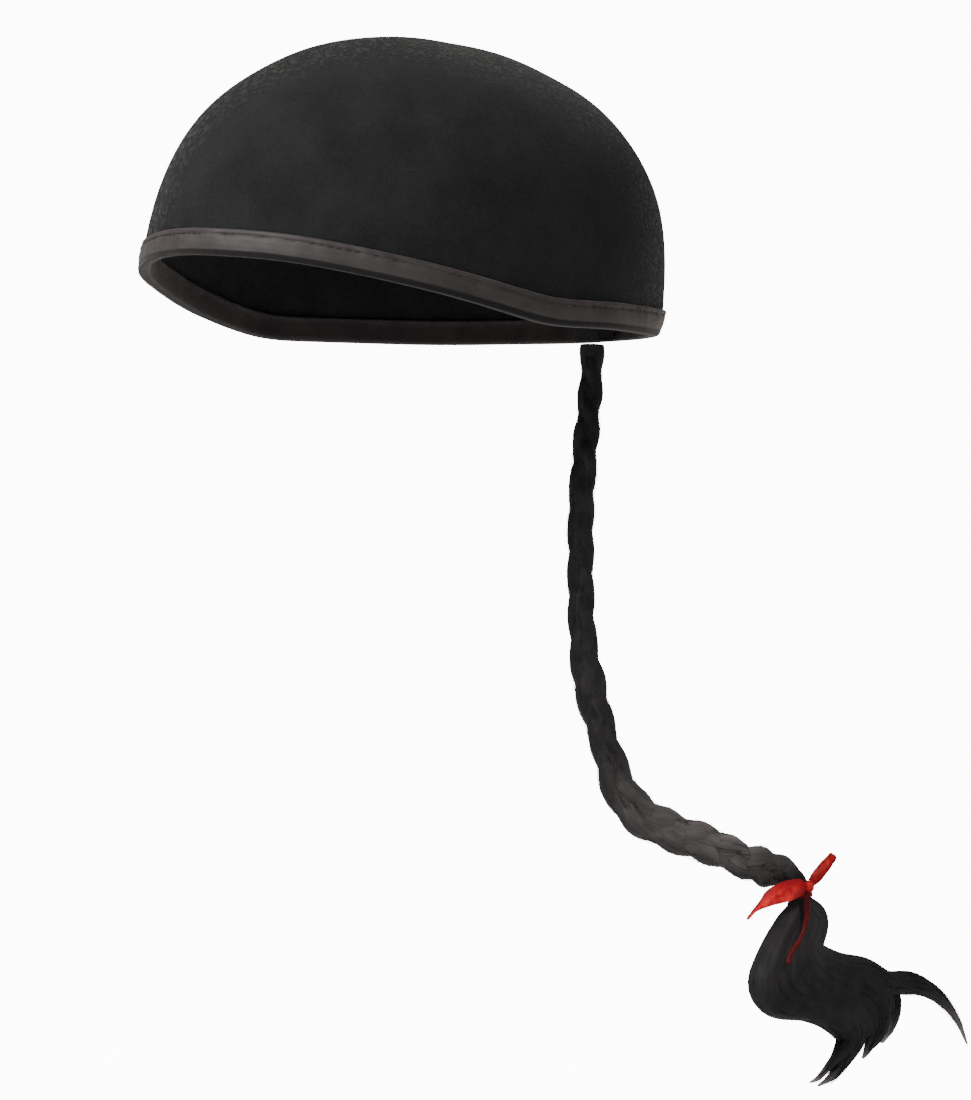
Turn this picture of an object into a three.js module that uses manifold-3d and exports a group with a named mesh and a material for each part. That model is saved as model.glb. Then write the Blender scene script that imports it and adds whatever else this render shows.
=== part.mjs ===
// A mandarin hat: a black skullcap with a plaited queue and a red ribbon, held up as a head holds it.
// Millimetres, +Z up. The front of the hat faces -Y, the wearer's left is +X, and the queue hangs at +Y.
// The origin is the middle of the opening that the head goes into, level with the rim at the sides.

import * as THREE from "three";
import { mergeVertices } from "three/addons/utils/BufferGeometryUtils.js";
import Module from "manifold-3d";

const wasm = await Module();
wasm.setup();

// Driving dimensions
const CROWN = {
  halfLength: 99,
  halfBreadth: 79,
  top: 104,
  widestAt: 10,
  shoulder: 2.85,
  fullness: 1.85,
  tuck: 0.02,
  lean: 4.6,
  wall: 1.6,
  segments: 48,
  rings: 11,
};

const RIM = { frontRise: 24.5, blend: 0.1 };

const BAND = { height: 9.3, cloth: 1, gap: 0.45 };

const TAB = { width: 15, thickness: 8, height: 12, corner: 2, back: 93.3, bottom: -0.3 };

// The sway and weave of a strand, its own radius where it lies free, and the gap between two strands are
// shares of the plait's width. By the share turnedBy of its length the plait has turned its flat side by
// turn degrees, from facing the front of the hat towards the wearer's left.
const PLAIT = {
  sway: 0.2,
  weave: 0.14,
  strandRadius: 0.31,
  gap: 0.12,
  turn: 50,
  turnedBy: 0.3,
  firstTurn: 0.1,
  sides: 8,
  steps: 117,
  strands: 3,
};

// The middle of the plait, from the tab down the nape and out to the ribbon, all at X = 0.
const PLAIT_ROUTE = [
  { y: 89, z: -0.8 },
  { y: 88.3, z: -15 },
  { y: 86, z: -35 },
  { y: 83.9, z: -55 },
  { y: 83.4, z: -75 },
  { y: 83.6, z: -94 },
  { y: 84.6, z: -108 },
  { y: 87.3, z: -122 },
  { y: 91.8, z: -136 },
  { y: 96.4, z: -148 },
  { y: 102, z: -160.5 },
  { y: 109, z: -168.8 },
  { y: 119.5, z: -174.6 },
  { y: 132.5, z: -179.3 },
  { y: 148, z: -184 },
  { y: 163, z: -189.5 },
  { y: 173.5, z: -192.4 },
  { y: 181, z: -194.4 },
  { y: 186.6, z: -196.3 },
  { y: 189.6, z: -199 },
  { y: 190.2, z: -202.2 },
];

// The plait's width, and the length of one whole turn of its weave, at shares of its length.
const PLAIT_SIZES = [
  { along: 0, width: 8.8, period: 45 },
  { along: 0.25, width: 9.4, period: 46 },
  { along: 0.4, width: 9.8, period: 47 },
  { along: 0.46, width: 12, period: 47 },
  { along: 0.54, width: 10.6, period: 48 },
  { along: 0.62, width: 13, period: 52 },
  { along: 0.67, width: 15, period: 55 },
  { along: 0.8, width: 14.4, period: 54 },
  { along: 0.87, width: 12.6, period: 44 },
  { along: 0.92, width: 14.4, period: 38 },
  { along: 0.96, width: 11.8, period: 38 },
  { along: 0.985, width: 8.6, period: 40 },
  { along: 1, width: 8.2, period: 40 },
];

// The ribbon's turns lie round the end of the plait, where the loose hair starts.
const WRAP = { radius: 4.8, height: 4, segments: 20 };

const RIBBON = { cloth: 1, sides: 8, stepsPerRow: 2 };

const KNOT = { x: 7.9, y: 188.9, z: -199.9, across: 2.2, along: 2.5, deep: 1.8 };

const NECK = { start: 0.4, length: 4.6, radius: 4.1 };

const LOCK = { sides: 8, stepsPerRow: 2 };

// Each lock of the loose hair runs through its rows, an oval of half sizes wide and deep at each.
const LOCKS = [
  [
    { x: 0.6, y: 190.6, z: -205.4, wide: 2.8, deep: 3 },
    { x: 1.5, y: 188.2, z: -209, wide: 3.4, deep: 3.8 },
    { x: 2, y: 183.8, z: -213.8, wide: 4.6, deep: 4.6 },
    { x: 3, y: 175.2, z: -224.7, wide: 5.4, deep: 5.6 },
    { x: 4, y: 169.6, z: -235.8, wide: 5.5, deep: 6.3 },
    { x: 4, y: 175, z: -242.6, wide: 5.2, deep: 6.6 },
    { x: 4, y: 191, z: -245.2, wide: 5.1, deep: 6.2 },
    { x: 3, y: 205.4, z: -250.2, wide: 5, deep: 5.6 },
    { x: 2, y: 214.3, z: -257.8, wide: 4.2, deep: 4.6 },
    { x: 2, y: 209.8, z: -264.6, wide: 2.5, deep: 3 },
    { x: 2, y: 205.2, z: -267.8, wide: 1.4, deep: 2 },
    { x: 2, y: 202.1, z: -270.3, wide: 1.1, deep: 1.4 },
    { x: 2, y: 198.7, z: -272.4, wide: 0.9, deep: 0.9 },
    { x: 2, y: 194.8, z: -273.6, wide: 0.4, deep: 0.5 },
  ],
  [
    { x: -0.6, y: 191, z: -205.4, wide: 3.2, deep: 3 },
    { x: -1.5, y: 189.3, z: -214.9, wide: 4.8, deep: 4.4 },
    { x: -2.5, y: 185.5, z: -226.2, wide: 6.6, deep: 5.4 },
    { x: -4, y: 188.4, z: -235.9, wide: 7, deep: 6 },
    { x: -4.5, y: 202.8, z: -241.1, wide: 6.8, deep: 6.2 },
    { x: -3.5, y: 215.2, z: -246.6, wide: 6.4, deep: 6 },
    { x: -1.5, y: 221, z: -253.4, wide: 5.8, deep: 5 },
    { x: 0, y: 219.3, z: -259.5, wide: 4.8, deep: 4.2 },
    { x: 1, y: 214.2, z: -265.3, wide: 3.2, deep: 3.2 },
    { x: 1, y: 208.8, z: -271, wide: 1.9, deep: 2 },
    { x: 1, y: 205.3, z: -273.2, wide: 1.2, deep: 1.3 },
    { x: 0, y: 200.8, z: -275.5, wide: 0.4, deep: 0.5 },
  ],
  [
    { x: 0.3, y: 191.4, z: -205.4, wide: 3.2, deep: 3.2 },
    { x: 1, y: 194, z: -214.8, wide: 5.2, deep: 5 },
    { x: 2, y: 192, z: -224, wide: 6.6, deep: 6 },
    { x: 3, y: 198.7, z: -231.7, wide: 7.2, deep: 6.6 },
    { x: 3, y: 213.2, z: -237.2, wide: 7.2, deep: 6.6 },
    { x: 2, y: 226.2, z: -244, wide: 6.4, deep: 5.8 },
    { x: 1, y: 231.6, z: -252.5, wide: 5, deep: 4.4 },
    { x: 0, y: 230.3, z: -258.5, wide: 3.6, deep: 3.2 },
    { x: 0, y: 227.4, z: -262.6, wide: 1.7, deep: 1.8 },
    { x: 0, y: 225.8, z: -265, wide: 1.1, deep: 1.1 },
    { x: 0, y: 224.2, z: -266.6, wide: 0.5, deep: 0.5 },
  ],
  [
    { x: -0.5, y: 191.8, z: -205.2, wide: 3.2, deep: 3 },
    { x: -3, y: 199.4, z: -214.6, wide: 5, deep: 4.4 },
    { x: -6, y: 202.2, z: -224.6, wide: 5.2, deep: 5 },
    { x: -7, y: 214, z: -232.4, wide: 5.2, deep: 5.4 },
    { x: -6, y: 228.8, z: -238.2, wide: 5.2, deep: 5 },
    { x: -4, y: 241.6, z: -244.4, wide: 4.8, deep: 4.6 },
    { x: -3.5, y: 243.2, z: -248.6, wide: 3.5, deep: 3.8 },
    { x: -3, y: 241.5, z: -253.3, wide: 3, deep: 3.3 },
    { x: -2.5, y: 238.8, z: -258, wide: 2, deep: 2.4 },
    { x: -2, y: 235.7, z: -261.2, wide: 1.2, deep: 1.3 },
  ],
  [
    { x: 0.6, y: 191.8, z: -205.2, wide: 3.2, deep: 3 },
    { x: 2, y: 197.8, z: -213, wide: 5.4, deep: 4.8 },
    { x: 3, y: 194.8, z: -223.5, wide: 4.9, deep: 5.2 },
    { x: 3, y: 205.5, z: -229.9, wide: 5.2, deep: 5.4 },
    { x: 2, y: 222.1, z: -233.5, wide: 5.5, deep: 5 },
    { x: 1.4, y: 235.3, z: -238.1, wide: 4.3, deep: 4.6 },
    { x: 1, y: 245.5, z: -239, wide: 4.6, deep: 4 },
    { x: 1, y: 254, z: -240.8, wide: 3.8, deep: 3.4 },
    { x: 1, y: 265.6, z: -246.8, wide: 2.3, deep: 2.2 },
    { x: 1, y: 274, z: -255.3, wide: 1.3, deep: 1.2 },
    { x: 1, y: 279.4, z: -265, wide: 0.4, deep: 0.4 },
  ],
];

// Each ribbon end runs through its rows, wide being half its width, and faces the way that faces says.
const RIBBON_ENDS = {
  ribbon_end_long: {
    faces: [0.95, -0.3, 0],
    rows: [
      { x: 8, y: 186.3, z: -199.8, wide: 2.4 },
      { x: 8.5, y: 180.7, z: -200.5, wide: 3.6 },
      { x: 8.9, y: 174.8, z: -201.5, wide: 3.7 },
      { x: 9.1, y: 168.5, z: -203.2, wide: 3 },
      { x: 8.8, y: 162.9, z: -206.2, wide: 1.2 },
      { x: 8, y: 157.7, z: -210.7, wide: 0.5 },
    ],
  },
  ribbon_end_short: {
    faces: [0.9, -0.4, 0.1],
    rows: [
      { x: 8.3, y: 190.5, z: -197.7, wide: 1.5 },
      { x: 9, y: 192.7, z: -195.5, wide: 2.1 },
      { x: 9.7, y: 195.4, z: -192.6, wide: 2.2 },
      { x: 10.1, y: 198.6, z: -189.4, wide: 1.7 },
      { x: 10.1, y: 199.7, z: -188.3, wide: 0.9 },
    ],
  },
  ribbon_string: {
    faces: [0.95, -0.3, 0],
    rows: [
      { x: 8.4, y: 187.7, z: -202.7, wide: 0.9 },
      { x: 8.6, y: 187.4, z: -206.6, wide: 0.9 },
      { x: 9, y: 186.6, z: -212.4, wide: 0.8 },
      { x: 10, y: 182.9, z: -218.2, wide: 0.7 },
      { x: 11.2, y: 177.4, z: -223.3, wide: 0.7 },
      { x: 11.8, y: 174.6, z: -227.5, wide: 0.7 },
    ],
  },
};

const SIDEWAYS = new THREE.Vector3(1, 0, 0);

const MATERIALS = {
  felt: new THREE.MeshStandardMaterial({ color: 0x1e2020, roughness: 0.95, metalness: 0 }),
  satin: new THREE.MeshStandardMaterial({ color: 0x3a3534, roughness: 0.5, metalness: 0 }),
  hair: new THREE.MeshStandardMaterial({ color: 0x262626, roughness: 0.6, metalness: 0 }),
  ribbon: new THREE.MeshStandardMaterial({ color: 0xc01a12, roughness: 0.4, metalness: 0 }),
};

// Shared helpers

function closed(geometry) {
  geometry.deleteAttribute("normal");
  geometry.deleteAttribute("uv");
  const merged = mergeVertices(geometry, 1e-4);
  const corners = merged.index.array;
  const kept = [];
  for (let i = 0; i < corners.length; i += 3) {
    const [a, b, c] = corners.slice(i, i + 3);
    if (a !== b && b !== c && c !== a) {
      kept.push(a, b, c);
    }
  }
  merged.setIndex(kept);
  return merged;
}

function solidOf(geometry) {
  return new wasm.Manifold(
    new wasm.Mesh({
      numProp: 3,
      vertProperties: new Float32Array(geometry.attributes.position.array),
      triVerts: new Uint32Array(geometry.index.array),
    }),
  );
}

function geometryOf(solid) {
  const mesh = solid.getMesh();
  const geometry = new THREE.BufferGeometry();
  geometry.setAttribute("position", new THREE.BufferAttribute(mesh.vertProperties, 3));
  geometry.setIndex(new THREE.BufferAttribute(mesh.triVerts, 1));
  return geometry;
}

function named(name, geometry, material) {
  const mesh = new THREE.Mesh(geometry, material);
  mesh.name = name;
  return mesh;
}

// A round bar whose sections are moved to where sectionAt puts them, u running from 0 to 1 along it.
// A section may be pressed: then each of its corners is drawn in by the share that pressed gives.
function swept(sides, steps, sectionAt) {
  const bar = new THREE.CylinderGeometry(1, 1, 1, sides, steps);
  const spots = bar.attributes.position;
  const sections = Array.from({ length: steps + 1 }, (_, k) => sectionAt(k / steps));
  for (let i = 0; i < spots.count; i += 1) {
    const step = Math.round((spots.getY(i) + 0.5) * steps);
    const { centre, across, out, wide, deep, pressed } = sections[step];
    const offset = new THREE.Vector2(spots.getX(i) * wide, spots.getZ(i) * deep);
    offset.multiplyScalar(pressed ? pressed(offset) : 1);
    const spot = centre.clone().addScaledVector(across, offset.x).addScaledVector(out, offset.y);
    spots.setXYZ(i, spot.x, spot.y, spot.z);
  }
  return closed(bar);
}

function section(centre, tangent, facing, wide, deep) {
  const across = new THREE.Vector3().crossVectors(tangent, facing).normalize();
  const out = new THREE.Vector3().crossVectors(across, tangent).normalize();
  return { centre, across, out, wide, deep };
}

// A bar through the rows of a table, its half sizes flowing from row to row as its middle does.
function barThrough(rows, facing, sides, stepsPerRow, deepOf) {
  const middle = new THREE.CatmullRomCurve3(rows.map((row) => new THREE.Vector3(row.x, row.y, row.z)));
  const sizes = new THREE.CatmullRomCurve3(rows.map((row) => new THREE.Vector3(row.wide, deepOf(row), 0)));
  return swept(sides, (rows.length - 1) * stepsPerRow, (u) => {
    const size = sizes.getPoint(u);
    return section(middle.getPoint(u), middle.getTangent(u), facing, size.x, size.y);
  });
}

// The crown and its band

// The share of its widest outline that the dome has at a height.
function outlineAt(z, top) {
  if (z < CROWN.widestAt) {
    return 1 - CROWN.tuck * ((CROWN.widestAt - z) / CROWN.widestAt) ** 2;
  }
  const climb = Math.min((z - CROWN.widestAt) / (top - CROWN.widestAt), 1);
  return (1 - climb ** CROWN.shoulder) ** (1 / CROWN.fullness);
}

// The rim's height: level at the sides and back, and rising over the forehead, which is at angle 0.
function rimAt(angle) {
  const forward = Math.cos(angle);
  const eased = (forward + Math.hypot(forward, RIM.blend)) / (1 + Math.hypot(1, RIM.blend));
  return RIM.frontRise * eased;
}

// A place on the dome, or on the like dome that lies inset inside it.
function domeSpot(angle, z, inset) {
  const share = outlineAt(z, CROWN.top - inset);
  const lean = CROWN.lean * Math.sin((Math.PI * z) / CROWN.top);
  return new THREE.Vector3(
    (CROWN.halfBreadth - inset) * share * Math.sin(angle),
    lean - (CROWN.halfLength - inset) * share * Math.cos(angle),
    z,
  );
}

// A ring turned from a profile, each of whose corners is then moved to where spotAt puts it.
function turned(corners, spotAt) {
  const profile = corners.map((_, i) => new THREE.Vector2(1, i));
  const ring = new THREE.LatheGeometry(profile, CROWN.segments);
  const spots = ring.attributes.position;
  for (let i = 0; i < spots.count; i += 1) {
    const angle = ring.attributes.uv.getX(i) * 2 * Math.PI;
    const spot = spotAt(angle, corners[Math.round(spots.getY(i))]);
    spots.setXYZ(i, spot.x, spot.y, spot.z);
  }
  return closed(ring);
}

function crown() {
  const edge = BAND.cloth + BAND.gap;
  const climbs = Array.from({ length: CROWN.rings + 1 }, (_, k) => k / CROWN.rings);
  const heights = (climb, low, high) => low + (high - low) * Math.sin((climb * Math.PI) / 2);
  const outer = [{ inset: 0, climb: null }, ...climbs.map((climb) => ({ inset: 0, climb }))];
  const inner = outer.map(({ climb }) => ({ inset: CROWN.wall, climb })).reverse();
  const shell = turned([...inner, ...outer], (angle, { inset, climb }) => {
    const rim = rimAt(angle);
    const z = climb === null ? rim + edge : heights(climb, rim + BAND.height, CROWN.top - inset);
    return domeSpot(angle, z, inset);
  });
  return named("crown", shell, MATERIALS.felt);
}

function rimBand() {
  const outside = -BAND.gap;
  const inside = CROWN.wall + BAND.gap;
  const corners = [
    { inset: outside - BAND.cloth, above: 0 },
    { inset: outside - BAND.cloth, above: BAND.height },
    { inset: outside, above: BAND.height },
    { inset: outside, above: BAND.cloth },
    { inset: inside, above: BAND.cloth },
    { inset: inside, above: BAND.height },
    { inset: inside + BAND.cloth, above: BAND.height },
    { inset: inside + BAND.cloth, above: 0 },
    { inset: outside - BAND.cloth, above: 0 },
  ];
  const band = turned(corners, (angle, corner) =>
    domeSpot(angle, rimAt(angle) + corner.above, corner.inset),
  );
  return named("rim_band", band, MATERIALS.satin);
}

// The plait and what it is sewn to

function braidTab() {
  const halfWidth = TAB.width / 2;
  const front = TAB.back - TAB.thickness;
  const outline = new THREE.Shape();
  outline.moveTo(halfWidth, front);
  outline.lineTo(halfWidth, TAB.back - TAB.corner);
  outline.absarc(halfWidth - TAB.corner, TAB.back - TAB.corner, TAB.corner, 0, Math.PI / 2);
  outline.absarc(TAB.corner - halfWidth, TAB.back - TAB.corner, TAB.corner, Math.PI / 2, Math.PI);
  outline.lineTo(-halfWidth, front);
  outline.closePath();
  const extent = { depth: TAB.height, bevelEnabled: false, curveSegments: 4 };
  const block = new THREE.ExtrudeGeometry(outline, extent);
  block.translate(0, 0, TAB.bottom);
  return named("braid_tab", closed(block), MATERIALS.felt);
}

function plaitSizeAt(along) {
  const next = PLAIT_SIZES.findIndex((row) => row.along >= along && row.along > 0);
  const [a, b] = [PLAIT_SIZES[next - 1], PLAIT_SIZES[next]];
  const share = (along - a.along) / (b.along - a.along);
  return {
    width: THREE.MathUtils.lerp(a.width, b.width, share),
    period: THREE.MathUtils.lerp(a.period, b.period, share),
  };
}

function plaitRoute() {
  return new THREE.CatmullRomCurve3(PLAIT_ROUTE.map((row) => new THREE.Vector3(0, row.y, row.z)));
}

function plaitEnd() {
  const route = plaitRoute();
  return { centre: route.getPoint(1), axis: route.getTangent(1) };
}

// Where a strand's middle lies across the plait, after this many turns of the weave.
function strandOffset(index, turns, width) {
  const turn = 2 * Math.PI * (turns + index / PLAIT.strands + PLAIT.firstTurn);
  return new THREE.Vector2(width * PLAIT.sway * Math.sin(turn), width * PLAIT.weave * Math.sin(2 * turn));
}

// The way that the plait's flat side faces at a share of its length.
function plaitFacing(along) {
  const eased = THREE.MathUtils.smoothstep(along, 0, PLAIT.turnedBy);
  const turned = THREE.MathUtils.degToRad(PLAIT.turn) * eased;
  return new THREE.Vector3(Math.sin(turned), -Math.cos(turned), 0);
}

// The three strands press each other flat where they meet: none passes halfway to its neighbour.
function strand(index) {
  const route = plaitRoute();
  const step = route.getLength() / PLAIT.steps;
  const sizes = Array.from({ length: PLAIT.steps + 1 }, (_, k) => plaitSizeAt(k / PLAIT.steps));
  const turns = [0];
  sizes.slice(1).forEach(({ period }, k) => turns.push(turns[k] + step / period));
  const body = swept(PLAIT.sides, PLAIT.steps, (along) => {
    const k = Math.round(along * PLAIT.steps);
    const { width } = sizes[k];
    const own = strandOffset(index, turns[k], width);
    const others = [1, 2].map((n) => strandOffset(index + n, turns[k], width).sub(own));
    const facing = plaitFacing(along);
    const radius = width * PLAIT.strandRadius;
    const place = section(route.getPointAt(along), route.getTangentAt(along), facing, radius, radius);
    place.centre.addScaledVector(place.across, own.x).addScaledVector(place.out, own.y);
    place.pressed = (offset) => {
      const shares = others.map((other) => {
        const towards = offset.dot(other) / other.length();
        return towards > 0 ? (other.length() - width * PLAIT.gap) / 2 / towards : 1;
      });
      return Math.min(1, ...shares);
    };
    return place;
  });
  return named(`strand_${index + 1}`, body, MATERIALS.hair);
}

// The loose hair

function tail() {
  const { centre, axis } = plaitEnd();
  const start = centre.clone().addScaledVector(axis, NECK.start);
  const end = start.clone().addScaledVector(axis, NECK.length);
  const neck = swept(2 * LOCK.sides, 1, (u) =>
    section(start.clone().lerp(end, u), axis, SIDEWAYS, NECK.radius, NECK.radius),
  );
  const deepOf = (row) => row.deep;
  const locks = LOCKS.map((rows) => barThrough(rows, SIDEWAYS, LOCK.sides, LOCK.stepsPerRow, deepOf));
  const fused = [neck, ...locks].map(solidOf).reduce((body, lock) => body.add(lock));
  return named("tail", geometryOf(fused), MATERIALS.hair);
}

// The ribbon

function ribbonWrap() {
  const [inner, outer] = [WRAP.radius, WRAP.radius + RIBBON.cloth];
  const half = WRAP.height / 2;
  const profile = [
    [inner, -half],
    [outer, -half],
    [outer, half],
    [inner, half],
    [inner, -half],
  ].map(([r, h]) => new THREE.Vector2(r, h));
  const ring = closed(new THREE.LatheGeometry(profile, WRAP.segments));
  const mesh = named("ribbon_wrap", ring, MATERIALS.ribbon);
  const { centre, axis } = plaitEnd();
  mesh.quaternion.setFromUnitVectors(new THREE.Vector3(0, 1, 0), axis);
  mesh.position.copy(centre);
  return mesh;
}

function ribbonKnot() {
  const knot = closed(new THREE.SphereGeometry(1, 12, 8));
  const mesh = named("ribbon_knot", knot, MATERIALS.ribbon);
  mesh.scale.set(KNOT.deep, KNOT.across, KNOT.along);
  mesh.position.set(KNOT.x, KNOT.y, KNOT.z);
  return mesh;
}

function ribbonEnd(name, { faces, rows }) {
  const facing = new THREE.Vector3(...faces).normalize();
  const body = barThrough(rows, facing, RIBBON.sides, RIBBON.stepsPerRow, () => RIBBON.cloth / 2);
  return named(name, body, MATERIALS.ribbon);
}

const hat = new THREE.Group();
hat.add(crown(), rimBand(), braidTab());
for (let index = 0; index < PLAIT.strands; index += 1) {
  hat.add(strand(index));
}
hat.add(tail(), ribbonWrap(), ribbonKnot());
for (const [name, end] of Object.entries(RIBBON_ENDS)) {
  hat.add(ribbonEnd(name, end));
}

export default hat;
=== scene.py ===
"""Dresses the packed mandarin hat: felt crown, satin rim, plaited hair, loose hair and ribbon."""

import math

import bpy
import numpy as np
from bpy.props import FloatProperty, FloatVectorProperty, IntProperty, PointerProperty
from bpy.types import Operator, Panel, PropertyGroup
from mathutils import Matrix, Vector


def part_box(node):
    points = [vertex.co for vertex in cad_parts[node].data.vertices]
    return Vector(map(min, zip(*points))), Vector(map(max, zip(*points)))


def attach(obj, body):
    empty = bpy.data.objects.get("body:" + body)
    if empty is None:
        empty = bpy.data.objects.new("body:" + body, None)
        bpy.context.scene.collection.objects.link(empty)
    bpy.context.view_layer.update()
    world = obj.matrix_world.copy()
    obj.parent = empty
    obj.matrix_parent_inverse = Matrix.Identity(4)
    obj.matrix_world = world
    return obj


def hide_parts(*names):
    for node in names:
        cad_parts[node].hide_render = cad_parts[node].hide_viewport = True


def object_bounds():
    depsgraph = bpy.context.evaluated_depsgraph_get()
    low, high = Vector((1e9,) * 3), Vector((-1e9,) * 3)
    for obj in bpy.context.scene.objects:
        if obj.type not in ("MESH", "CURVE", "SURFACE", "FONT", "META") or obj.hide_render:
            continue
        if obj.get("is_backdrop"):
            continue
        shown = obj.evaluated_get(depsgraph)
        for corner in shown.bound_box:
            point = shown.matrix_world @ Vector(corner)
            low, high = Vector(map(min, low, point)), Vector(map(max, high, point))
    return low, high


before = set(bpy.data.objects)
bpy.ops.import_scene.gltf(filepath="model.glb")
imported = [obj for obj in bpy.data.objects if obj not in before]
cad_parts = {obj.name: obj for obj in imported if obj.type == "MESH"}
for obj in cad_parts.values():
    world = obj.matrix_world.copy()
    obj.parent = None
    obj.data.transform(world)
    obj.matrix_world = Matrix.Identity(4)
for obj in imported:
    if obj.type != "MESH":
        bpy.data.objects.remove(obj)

bl_info = {
    "name": "Mandarin hat",
    "version": (1, 0, 0),
    "blender": (4, 5, 0),
    "location": "View3D > Sidebar > Hat",
    "description": "Sews a black skullcap with a satin rim, a plaited queue and a red ribbon",
    "category": "Add Mesh",
}

CAD_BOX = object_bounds()
MM = 0.001


def table(columns, *rows):
    """Rows of numbers under named columns, as a dictionary with an array for each column."""
    return dict(zip(columns.split(), np.array(rows, float).T))


# The folded strip that binds the rim, from its turned-under edge outside, round the rim, to its edge
# inside. out is how far it stands from the crown's outer face and above how far over the rim, in mm.
BAND_FOLD = table(
    "out above",
    (0.36, 7.0),
    (0.32, 8.5),
    (0.62, 9.1),
    (1.06, 8.8),
    (1.14, 8.1),
    (0.82, 7.4),
    (1.14, 6.6),
    (1.26, 5.2),
    (1.24, 3.6),
    (1.1, 2.4),
    (1.16, 1.4),
    (0.8, 0.6),
    (-0.1, 0.3),
    (-1.5, 0.3),
    (-2.4, 0.6),
    (-2.72, 1.6),
    (-2.74, 4.2),
    (-2.6, 7.2),
    (-2.7, 9.0),
)
STITCH_LINE = {"out": 1.1, "above": 7.4}

# The middle of the plait, from the tab down the nape and out to the ribbon, all at X = 0, in mm.
PLAIT_ROUTE = table(
    "y z",
    (89, -0.8),
    (88.3, -15),
    (86, -35),
    (83.9, -55),
    (83.4, -75),
    (83.6, -94),
    (84.6, -108),
    (87.3, -122),
    (91.8, -136),
    (96.4, -148),
    (102, -160.5),
    (109, -168.8),
    (119.5, -174.6),
    (132.5, -179.3),
    (148, -184),
    (163, -189.5),
    (173.5, -192.4),
    (181, -194.4),
    (186.6, -196.3),
    (189.6, -199),
    (190.2, -202.2),
)

# The plait's width, and the length in which a strand comes back to its place, in mm, at shares of the
# plait's length.
PLAIT_SIZES = table(
    "along width period",
    (0, 8.8, 45),
    (0.25, 9.4, 46),
    (0.4, 9.8, 47),
    (0.46, 12, 47),
    (0.54, 10.6, 48),
    (0.62, 13, 52),
    (0.67, 15, 55),
    (0.8, 14.4, 54),
    (0.87, 12.6, 44),
    (0.92, 14.4, 38),
    (0.96, 11.8, 38),
    (0.985, 8.6, 40),
    (1, 8.2, 40),
)

# Each lock of the loose hair runs through its rows in mm, with an oval of half sizes wide and deep at each.
LOCK_COLUMNS = "x y z wide deep"
LOCKS = [
    table(
        LOCK_COLUMNS,
        (0.6, 190.6, -205.4, 2.8, 3),
        (1.5, 188.2, -209, 3.4, 3.8),
        (2, 183.8, -213.8, 4.6, 4.6),
        (3, 175.2, -224.7, 5.4, 5.6),
        (4, 169.6, -235.8, 5.5, 6.3),
        (4, 175, -242.6, 5.2, 6.6),
        (4, 191, -245.2, 5.1, 6.2),
        (3, 205.4, -250.2, 5, 5.6),
        (2, 214.3, -257.8, 4.2, 4.6),
        (2, 209.8, -264.6, 2.5, 3),
        (2, 205.2, -267.8, 1.4, 2),
        (2, 202.1, -270.3, 1.1, 1.4),
        (2, 198.7, -272.4, 0.9, 0.9),
        (2, 194.8, -273.6, 0.4, 0.5),
    ),
    table(
        LOCK_COLUMNS,
        (-0.6, 191, -205.4, 3.2, 3),
        (-1.5, 189.3, -214.9, 4.8, 4.4),
        (-2.5, 185.5, -226.2, 6.6, 5.4),
        (-4, 188.4, -235.9, 7, 6),
        (-4.5, 202.8, -241.1, 6.8, 6.2),
        (-3.5, 215.2, -246.6, 6.4, 6),
        (-1.5, 221, -253.4, 5.8, 5),
        (0, 219.3, -259.5, 4.8, 4.2),
        (1, 214.2, -265.3, 3.2, 3.2),
        (1, 208.8, -271, 1.9, 2),
        (1, 205.3, -273.2, 1.2, 1.3),
        (0, 200.8, -275.5, 0.4, 0.5),
    ),
    table(
        LOCK_COLUMNS,
        (0.3, 191.4, -205.4, 3.2, 3.2),
        (1, 194, -214.8, 5.2, 5),
        (2, 192, -224, 6.6, 6),
        (3, 198.7, -231.7, 7.2, 6.6),
        (3, 213.2, -237.2, 7.2, 6.6),
        (2, 226.2, -244, 6.4, 5.8),
        (1, 231.6, -252.5, 5, 4.4),
        (0, 230.3, -258.5, 3.6, 3.2),
        (0, 227.4, -262.6, 1.7, 1.8),
        (0, 225.8, -265, 1.1, 1.1),
        (0, 224.2, -266.6, 0.5, 0.5),
    ),
    table(
        LOCK_COLUMNS,
        (-0.5, 191.8, -205.2, 3.2, 3),
        (-3, 199.4, -214.6, 5, 4.4),
        (-6, 202.2, -224.6, 5.2, 5),
        (-7, 214, -232.4, 5.2, 5.4),
        (-6, 228.8, -238.2, 5.2, 5),
        (-4, 241.6, -244.4, 4.8, 4.6),
        (-3.5, 243.2, -248.6, 3.5, 3.8),
        (-3, 241.5, -253.3, 3, 3.3),
        (-2.5, 238.8, -258, 2, 2.4),
        (-2, 235.7, -261.2, 1.2, 1.3),
    ),
    table(
        LOCK_COLUMNS,
        (0.6, 191.8, -205.2, 3.2, 3),
        (2, 197.8, -213, 5.4, 4.8),
        (3, 194.8, -223.5, 4.9, 5.2),
        (3, 205.5, -229.9, 5.2, 5.4),
        (2, 222.1, -233.5, 5.5, 5),
        (1.4, 235.3, -238.1, 4.3, 4.6),
        (1, 245.5, -239, 4.6, 4),
        (1, 254, -240.8, 3.8, 3.4),
        (1, 265.6, -246.8, 2.3, 2.2),
        (1, 274, -255.3, 1.3, 1.2),
        (1, 279.4, -265, 0.4, 0.4),
    ),
]

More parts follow.
